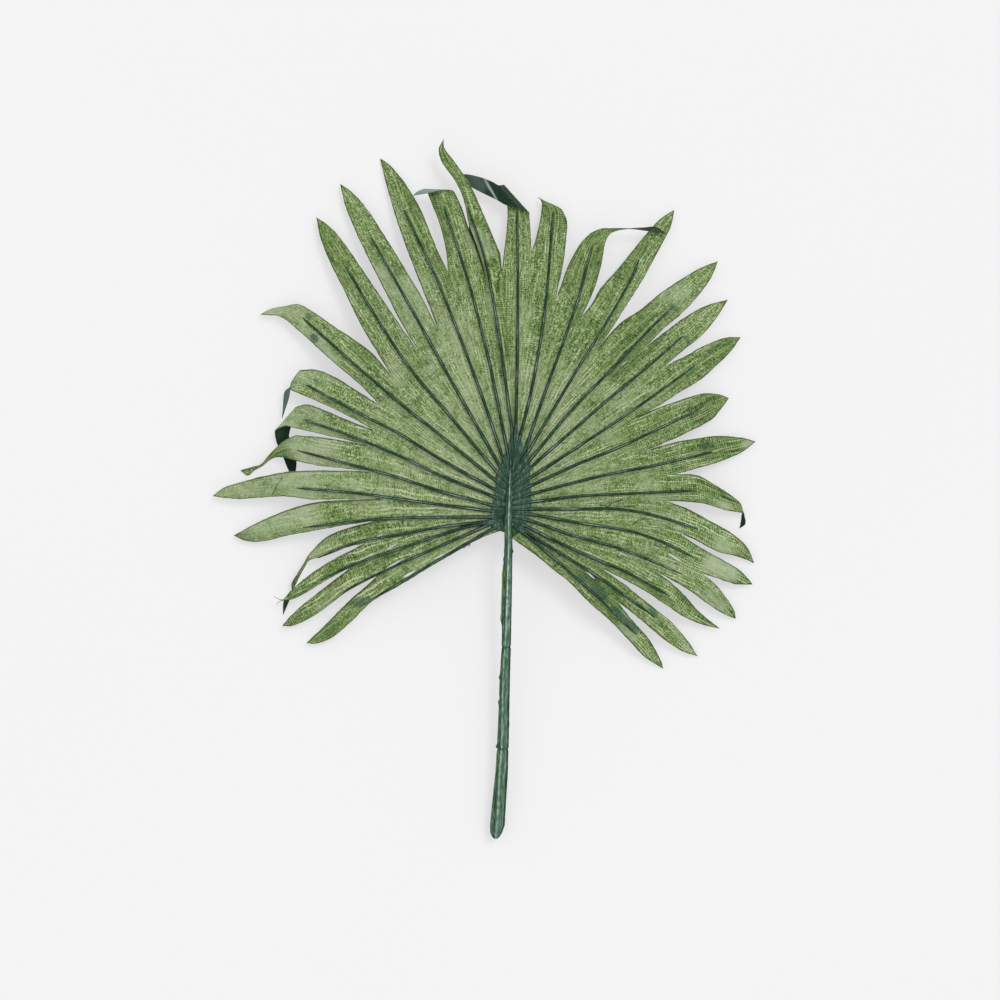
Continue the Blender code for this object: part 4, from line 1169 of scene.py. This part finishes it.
def crease_shade(nodes, place):
    """How dark the painted shade of the creases makes a place, with their courses a little unsteady."""
    wander = nodes.new("ShaderNodeTexNoise", {"Vector": place, "Scale": 260.0}).outputs["Color"]
    moved = nodes.vector("MULTIPLY_ADD", {0: wander, 1: (WANDER, WANDER, 0.0), 2: place})[0]
    flat = nodes.vector("MULTIPLY", {0: moved, 1: (1.0, 1.0, 0.0)})[0]
    total = 0.0
    for points, half, strength in CREASE_SHADES:
        for start, end in zip(points, points[1:]):
            first = (Vector((*start, 0.0)) + SHIFT) * MM + Vector((WANDER, WANDER, 0.0)) / 2
            line = Vector((end[0] - start[0], end[1] - start[1], 0.0)) * MM
            offset = nodes.vector("SUBTRACT", {0: flat, 1: first})[0]
            along = nodes.vector("DOT_PRODUCT", {0: offset, 1: line / line.length_squared})["Value"]
            foot = nodes.vector("SCALE", {0: line, "Scale": nodes.times(along, 1.0, clamp=True)})[0]
            apart = nodes.vector("DISTANCE", {0: offset, 1: foot})["Value"]
            near = nodes.range(apart, half * MM * 1.6, half * MM * 0.4, 0.0, strength)
            total = nodes.most(near, total)
    return total


def ramp(nodes, factor, stops):
    """A colour ramp, from places and screen colours."""
    node = nodes.new("ShaderNodeValToRGB", {0: factor})
    while len(node.color_ramp.elements) < len(stops):
        node.color_ramp.elements.new(0.5)
    for element, (place, colour) in zip(node.color_ramp.elements, stops):
        element.position = place
        element.color = srgb(*colour)
    return node.outputs[0]


def printed_back():
    """Back of the fabric: mottled green print on a pale weave, with long threads, smears, darker and paler
    patches that are partly painted shade and light, and painted shade along creases.
    """
    nodes = Nodes("printed fabric")
    u, v, lines, dashes, stitch = weave(nodes)
    spot = nodes.object_place()
    glued, darkened, paled = nodes.parts(nodes.attribute("marks")["Color"])
    broad = nodes.noise(spot, 38.0, 2.0, 0.5, 0.4)
    patchy = nodes.noise(nodes.scaled(spot, (1.0, 1.0, 1.0), (0.3, 0.7, 0.1)), 170.0, 3.0, 0.62, 0.6)
    streaky = nodes.noise(nodes.joined(nodes.times(u, 0.13), nodes.times(v, 0.7)), 1.0, 2.0, 0.6)
    speckle = nodes.noise(nodes.joined(nodes.times(u, 0.6), v, 7.0), 1.5, 1.0, 0.6)
    grain = nodes.noise(nodes.joined(u, v, 4.0), 2.3, 0.0)

    # The weave stands out on the outer leaflets, and is lost in pale and worn patches
    number = nodes.floor(nodes.plus(nodes.math("DIVIDE", v, LEAFLET_STEP), 0.5))
    outer = nodes.most(nodes.range(number, 4.0, 1.5), nodes.range(number, 20.0, 25.0))
    grid = nodes.most(outer, nodes.range(u, 90.0, 45.0, 0.0, 0.6))
    worn = nodes.times(paled, nodes.range(u, 88.0, 105.0))
    clear = nodes.times(nodes.range(broad, 0.42, 0.64, 1.0, 0.4), nodes.range(worn, 0.2, 1.0, 1.0, 0.55))
    lines = nodes.times(lines, clear)
    dashes = nodes.times(dashes, clear)
    smoothed = nodes.most(nodes.times(darkened, 0.45), nodes.times(paled, 0.4))
    smoothed = nodes.most(smoothed, nodes.times(worn, 0.42))

    # Paler towards the hub, painted light that makes up for the ribs' shadows there; darker patches lower the
    # shade and paler ones raise it
    shade = nodes.summed(
        nodes.range(u, 75.0, 15.0, 0.375, 0.485), (paled, 0.19), (darkened, -0.2), (grid, -0.055),
        (lines, nodes.summed(0.4, (grid, 0.4))), (dashes, nodes.summed(0.26, (grid, 0.26))))
    fine = nodes.summed(0.0, (speckle, 1.3), (grain, 1.1), (stitch, 0.5), middle=0.5)
    calm = nodes.minus(1.0, nodes.plus(nodes.times(grid, 0.15), smoothed), clamp=True)
    shade = nodes.summed(shade, (fine, calm))
    shade = nodes.summed(shade, (broad, 0.25), (patchy, 0.45), (streaky, 0.75), middle=0.5)
    colour = ramp(nodes, shade, (
        (0.0, (34, 60, 22)), (0.22, (76, 102, 48)), (0.5, (115, 138, 82)), (0.72, (143, 162, 110)),
        (0.9, (170, 184, 144)), (1.0, (198, 206, 178))))
    hue = nodes.mix(stitch, srgb(174, 190, 116), srgb(182, 180, 168))
    colour = nodes.mix(nodes.times(dashes, 0.45), colour, hue)

    # Lighter green beside each rib, less so on the leaflets at the top
    lime = nodes.range(nodes.noise(nodes.joined(nodes.times(u, 0.035), v, 11.0), 1.1, 1.0), 0.60, 0.70)
    side = nodes.minus(v, nodes.times(number, LEAFLET_STEP))
    beside = nodes.times(nodes.range(side, 0.75, 1.0), nodes.range(side, 1.55, 1.25))
    beside = nodes.times(beside, nodes.range(streaky, 0.42, 0.6, 0.1, 0.65))
    off_top = nodes.math("ABSOLUTE", nodes.minus(number, TOP_LEAFLET))
    beside = nodes.times(beside, nodes.range(off_top, 3.0, 6.0, 1.0, 0.25))

    rim = nodes.parts(nodes.uv("rim"))[0]
    edge = nodes.times(nodes.range(rim, 0.75, 0.3), nodes.range(patchy, 0.35, 0.6, 0.4, 0.85))
    smear_edge = nodes.summed(glued, (patchy, 1.1), (speckle, 1.2), middle=0.5)
    smear = nodes.times(nodes.range(smear_edge, 0.34, 0.62), nodes.range(glued, 0.2, 1.0, 0.5, 1.0))
    colour = nodes.layered(
        colour,
        (nodes.range(stitch, 0.25, 0.1, 0.0, 0.45), (64, 112, 50)),
        (nodes.times(lines, 0.28), (178, 200, 128)),
        (nodes.times(paled, nodes.range(patchy, 0.42, 0.62, 0.0, 0.6)), (158, 170, 134)),
        (nodes.times(worn, 0.42, clamp=True), (176, 190, 160)),
        (nodes.times(lime, 0.3), (164, 188, 112)),
        (beside, (166, 188, 112)),
        # painted shade along the creases
        (crease_shade(nodes, spot), (44, 70, 28)),
        (edge, (58, 70, 32)),
        (nodes.times(smear, 0.74), (50, 84, 68)))
    threads = nodes.summed(0.5, (speckle, 0.8), (stitch, 0.5), (lines, 0.5), (dashes, 0.3), middle=0.5)
    nodes.relief(threads, 0.00022, 0.8)
    return nodes.surface(colour, nodes.summed(0.62, (speckle, 0.3), (smear, -0.3)), 0.15)


def glossy_front():
    """Front of the fabric: dark green with a coat that shines, and a painted sheen, greyer and paler, over
    folds.
    """
    nodes = Nodes("coated front")
    _, _, lines, dashes, stitch = weave(nodes)
    spot = nodes.object_place()
    stretched = nodes.attribute("marks")["Alpha"]
    broad = nodes.noise(spot, 60.0, 3.0, 0.6, 0.5)
    grain = nodes.noise(spot, 1400.0, 1.0, 0.5)
    colour = nodes.layered(
        nodes.mix(broad, srgb(6, 20, 12), srgb(20, 50, 32)),
        (nodes.times(lines, 0.35), (48, 82, 60)),
        (nodes.times(nodes.range(stitch, 0.6, 1.0), 0.4), (58, 90, 68)),
        (nodes.times(nodes.range(grain, 0.5, 0.75), 0.2), (70, 100, 78)),
        # painted sheen over folds, greyer and then paler
        (nodes.range(stretched, 0.1, 0.75), (88, 108, 98)),
        (nodes.range(stretched, 0.6, 1.0), (158, 170, 166)))
    nodes.relief(nodes.summed(lines, (dashes, 0.5)), 0.0001, 0.5)
    return nodes.surface(colour, nodes.range(dashes, 0.2, 0.8, 0.38, 0.55), 0.18)


def moulded_plastic():
    """Dark teal plastic: greener and streaked on the stem, with broken painted highlights on ridges and
    painted shade in grooves, at feet and on the stem's right side.
    """
    nodes = Nodes("moulded plastic")
    spot = nodes.object_place()
    ridge, painted_shade, on_stem = nodes.parts(nodes.attribute("relief")["Color"])
    streaks = nodes.noise(nodes.scaled(spot, (1.0, 0.2, 1.0)), 1000.0, 3.0, 0.65)
    cloud = nodes.range(nodes.noise(spot, 110.0, 3.0, 0.6, 0.4), 0.3, 0.7)
    broken = nodes.noise(nodes.scaled(spot, (1.0, 0.6, 1.0)), 560.0, 2.0, 0.6)
    colour = nodes.mix(cloud, srgb(26, 56, 42), srgb(44, 76, 60))
    stem = nodes.mix(cloud, srgb(50, 88, 62), srgb(70, 106, 80))
    light = nodes.times(nodes.range(streaks, 0.5, 0.66), nodes.range(on_stem, 0.0, 1.0, 0.2, 0.6))
    colour = nodes.layered(
        nodes.mix(on_stem, colour, stem),
        (light, (132, 160, 138)),
        (nodes.times(nodes.range(streaks, 0.5, 0.36), 0.6), (24, 52, 38)),
        # Painted highlight along the ridges, broken up, and painted shade in grooves, at feet and on the
        # stem's right side
        (nodes.times(ridge, nodes.range(broken, 0.36, 0.6, 0.3, 1.0), clamp=True), (178, 200, 196)),
        (painted_shade, (6, 20, 14)))
    nodes.relief(streaks, 0.0001, 0.5)
    return nodes.surface(colour, nodes.range(streaks, 0.3, 0.7, 0.34, 0.5), 0.12)


def clouded(name, scale, tones, rough, specular=0.5):
    """A plain material that wanders between two colours and two values of roughness."""
    nodes = Nodes(name)
    cloud = nodes.noise(nodes.object_place(), scale, 2.0, 0.5)
    return nodes.surface(nodes.mix(cloud, *tones), nodes.range(cloud, 0.3, 0.7, *rough), specular)


def floor_material():
    """Matt pale surface lit a little from below, as on a light table, so that shadows on it stay faint."""
    tones = [(value, value, value, 1.0) for value in (0.338, 0.35)]
    material = clouded("pale surface", 3.0, tones, (0.85, 0.95), 0.0)
    shader = material.node_tree.nodes["Principled BSDF"]
    shader.inputs["Emission Color"].default_value = (1.0, 1.0, 1.0, 1.0)
    shader.inputs["Emission Strength"].default_value = 0.55
    return material


def placed(name, mesh, materials):
    """An object from mesh code, with its materials."""
    data = bpy.data.meshes.new(name)
    mesh.to_mesh(data)
    mesh.free()
    for material in materials:
        data.materials.append(material)
    thing = bpy.data.objects.new(name, data)
    bpy.context.scene.collection.objects.link(thing)
    return thing


def build_part():
    """The leaf's pieces, each riding on the CAD body."""
    blades = [Blade(number) for number in range(len(LEAFLETS))]
    fabric = placed("fabric_blade", build_fabric(blades), [printed_back(), glossy_front()])
    thickness = fabric.modifiers.new("fabric thickness", "SOLIDIFY")
    thickness.thickness = CLOTH * MM
    thickness.offset = -1.0
    thickness.use_even_offset = False
    thickness.material_offset = 1
    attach(fabric, "root")
    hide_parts("leaf_blade")

    # Where light comes through the thin flash it is yellow-green
    flash = clouded("thin flash", 500.0, (srgb(112, 142, 66), srgb(168, 186, 106)), (0.4, 0.6))
    moulding = placed("moulded_stem_and_ribs", build_moulding(blades), [moulded_plastic(), flash])
    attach(moulding, "root")
    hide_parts("rib_frame")

    thread = clouded("loose thread", 900.0, (srgb(70, 96, 52), srgb(150, 166, 118)), (0.7, 0.9))
    threads = placed("loose_threads", build_threads(blades), [thread])
    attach(threads, "root")


def build_floor():
    """A wide plain floor."""
    mesh = bmesh.new()
    bmesh.ops.create_grid(mesh, x_segments=8, y_segments=8, size=6.0)
    floor = placed("floor", mesh, [floor_material()])


def build_light():
    """Soft light from all round, and a broad key light from the upper right."""
    scene = bpy.context.scene
    world = bpy.data.worlds.new("studio")
    world.use_nodes = True
    scene.world = world
    tree = world.node_tree
    background = tree.nodes["Background"]
    place = tree.nodes.new("ShaderNodeTexCoord")
    parts = tree.nodes.new("ShaderNodeSeparateXYZ")
    shade = tree.nodes.new("ShaderNodeMapRange")
    tree.links.new(place.outputs["Generated"], parts.inputs[0])
    tree.links.new(parts.outputs["Z"], shade.inputs["Value"])
    for socket, value in (("From Min", 0.55), ("From Max", 0.98), ("To Min", 1.0), ("To Max", 0.45)):
        shade.inputs[socket].default_value = value
    tree.links.new(shade.outputs[0], background.inputs["Strength"])
    background.inputs["Color"].default_value = (1.0, 1.0, 1.0, 1.0)
    key = bpy.data.lights.new("key", "SUN")
    key.energy = 1.1
    key.angle = math.radians(24)
    key_object = bpy.data.objects.new("key", key)
    direction = Vector((-0.62, -0.66, -1.0))
    key_object.rotation_euler = direction.to_track_quat("-Z", "Y").to_euler()
    key_object.location = (1.0, 1.0, 1.6)
    scene.collection.objects.link(key_object)
    scene.view_settings.view_transform = "Standard"
    scene.view_settings.look = "None"


def build_camera():
    """Straight above, with a long lens: half a metre of the surface fills the picture."""
    scene = bpy.context.scene
    camera = bpy.data.cameras.new("camera")
    distance = 3.0
    width_seen = 0.5
    target_height = 0.005
    camera.sensor_width = 36.0
    camera.lens = camera.sensor_width * distance / width_seen
    camera.clip_end = 50.0
    camera_object = bpy.data.objects.new("camera", camera)
    camera_object.location = (SHIFT.x * MM, SHIFT.y * MM, distance + target_height)
    scene.collection.objects.link(camera_object)
    scene.camera = camera_object


build_camera()
build_part()
build_floor()
build_light()
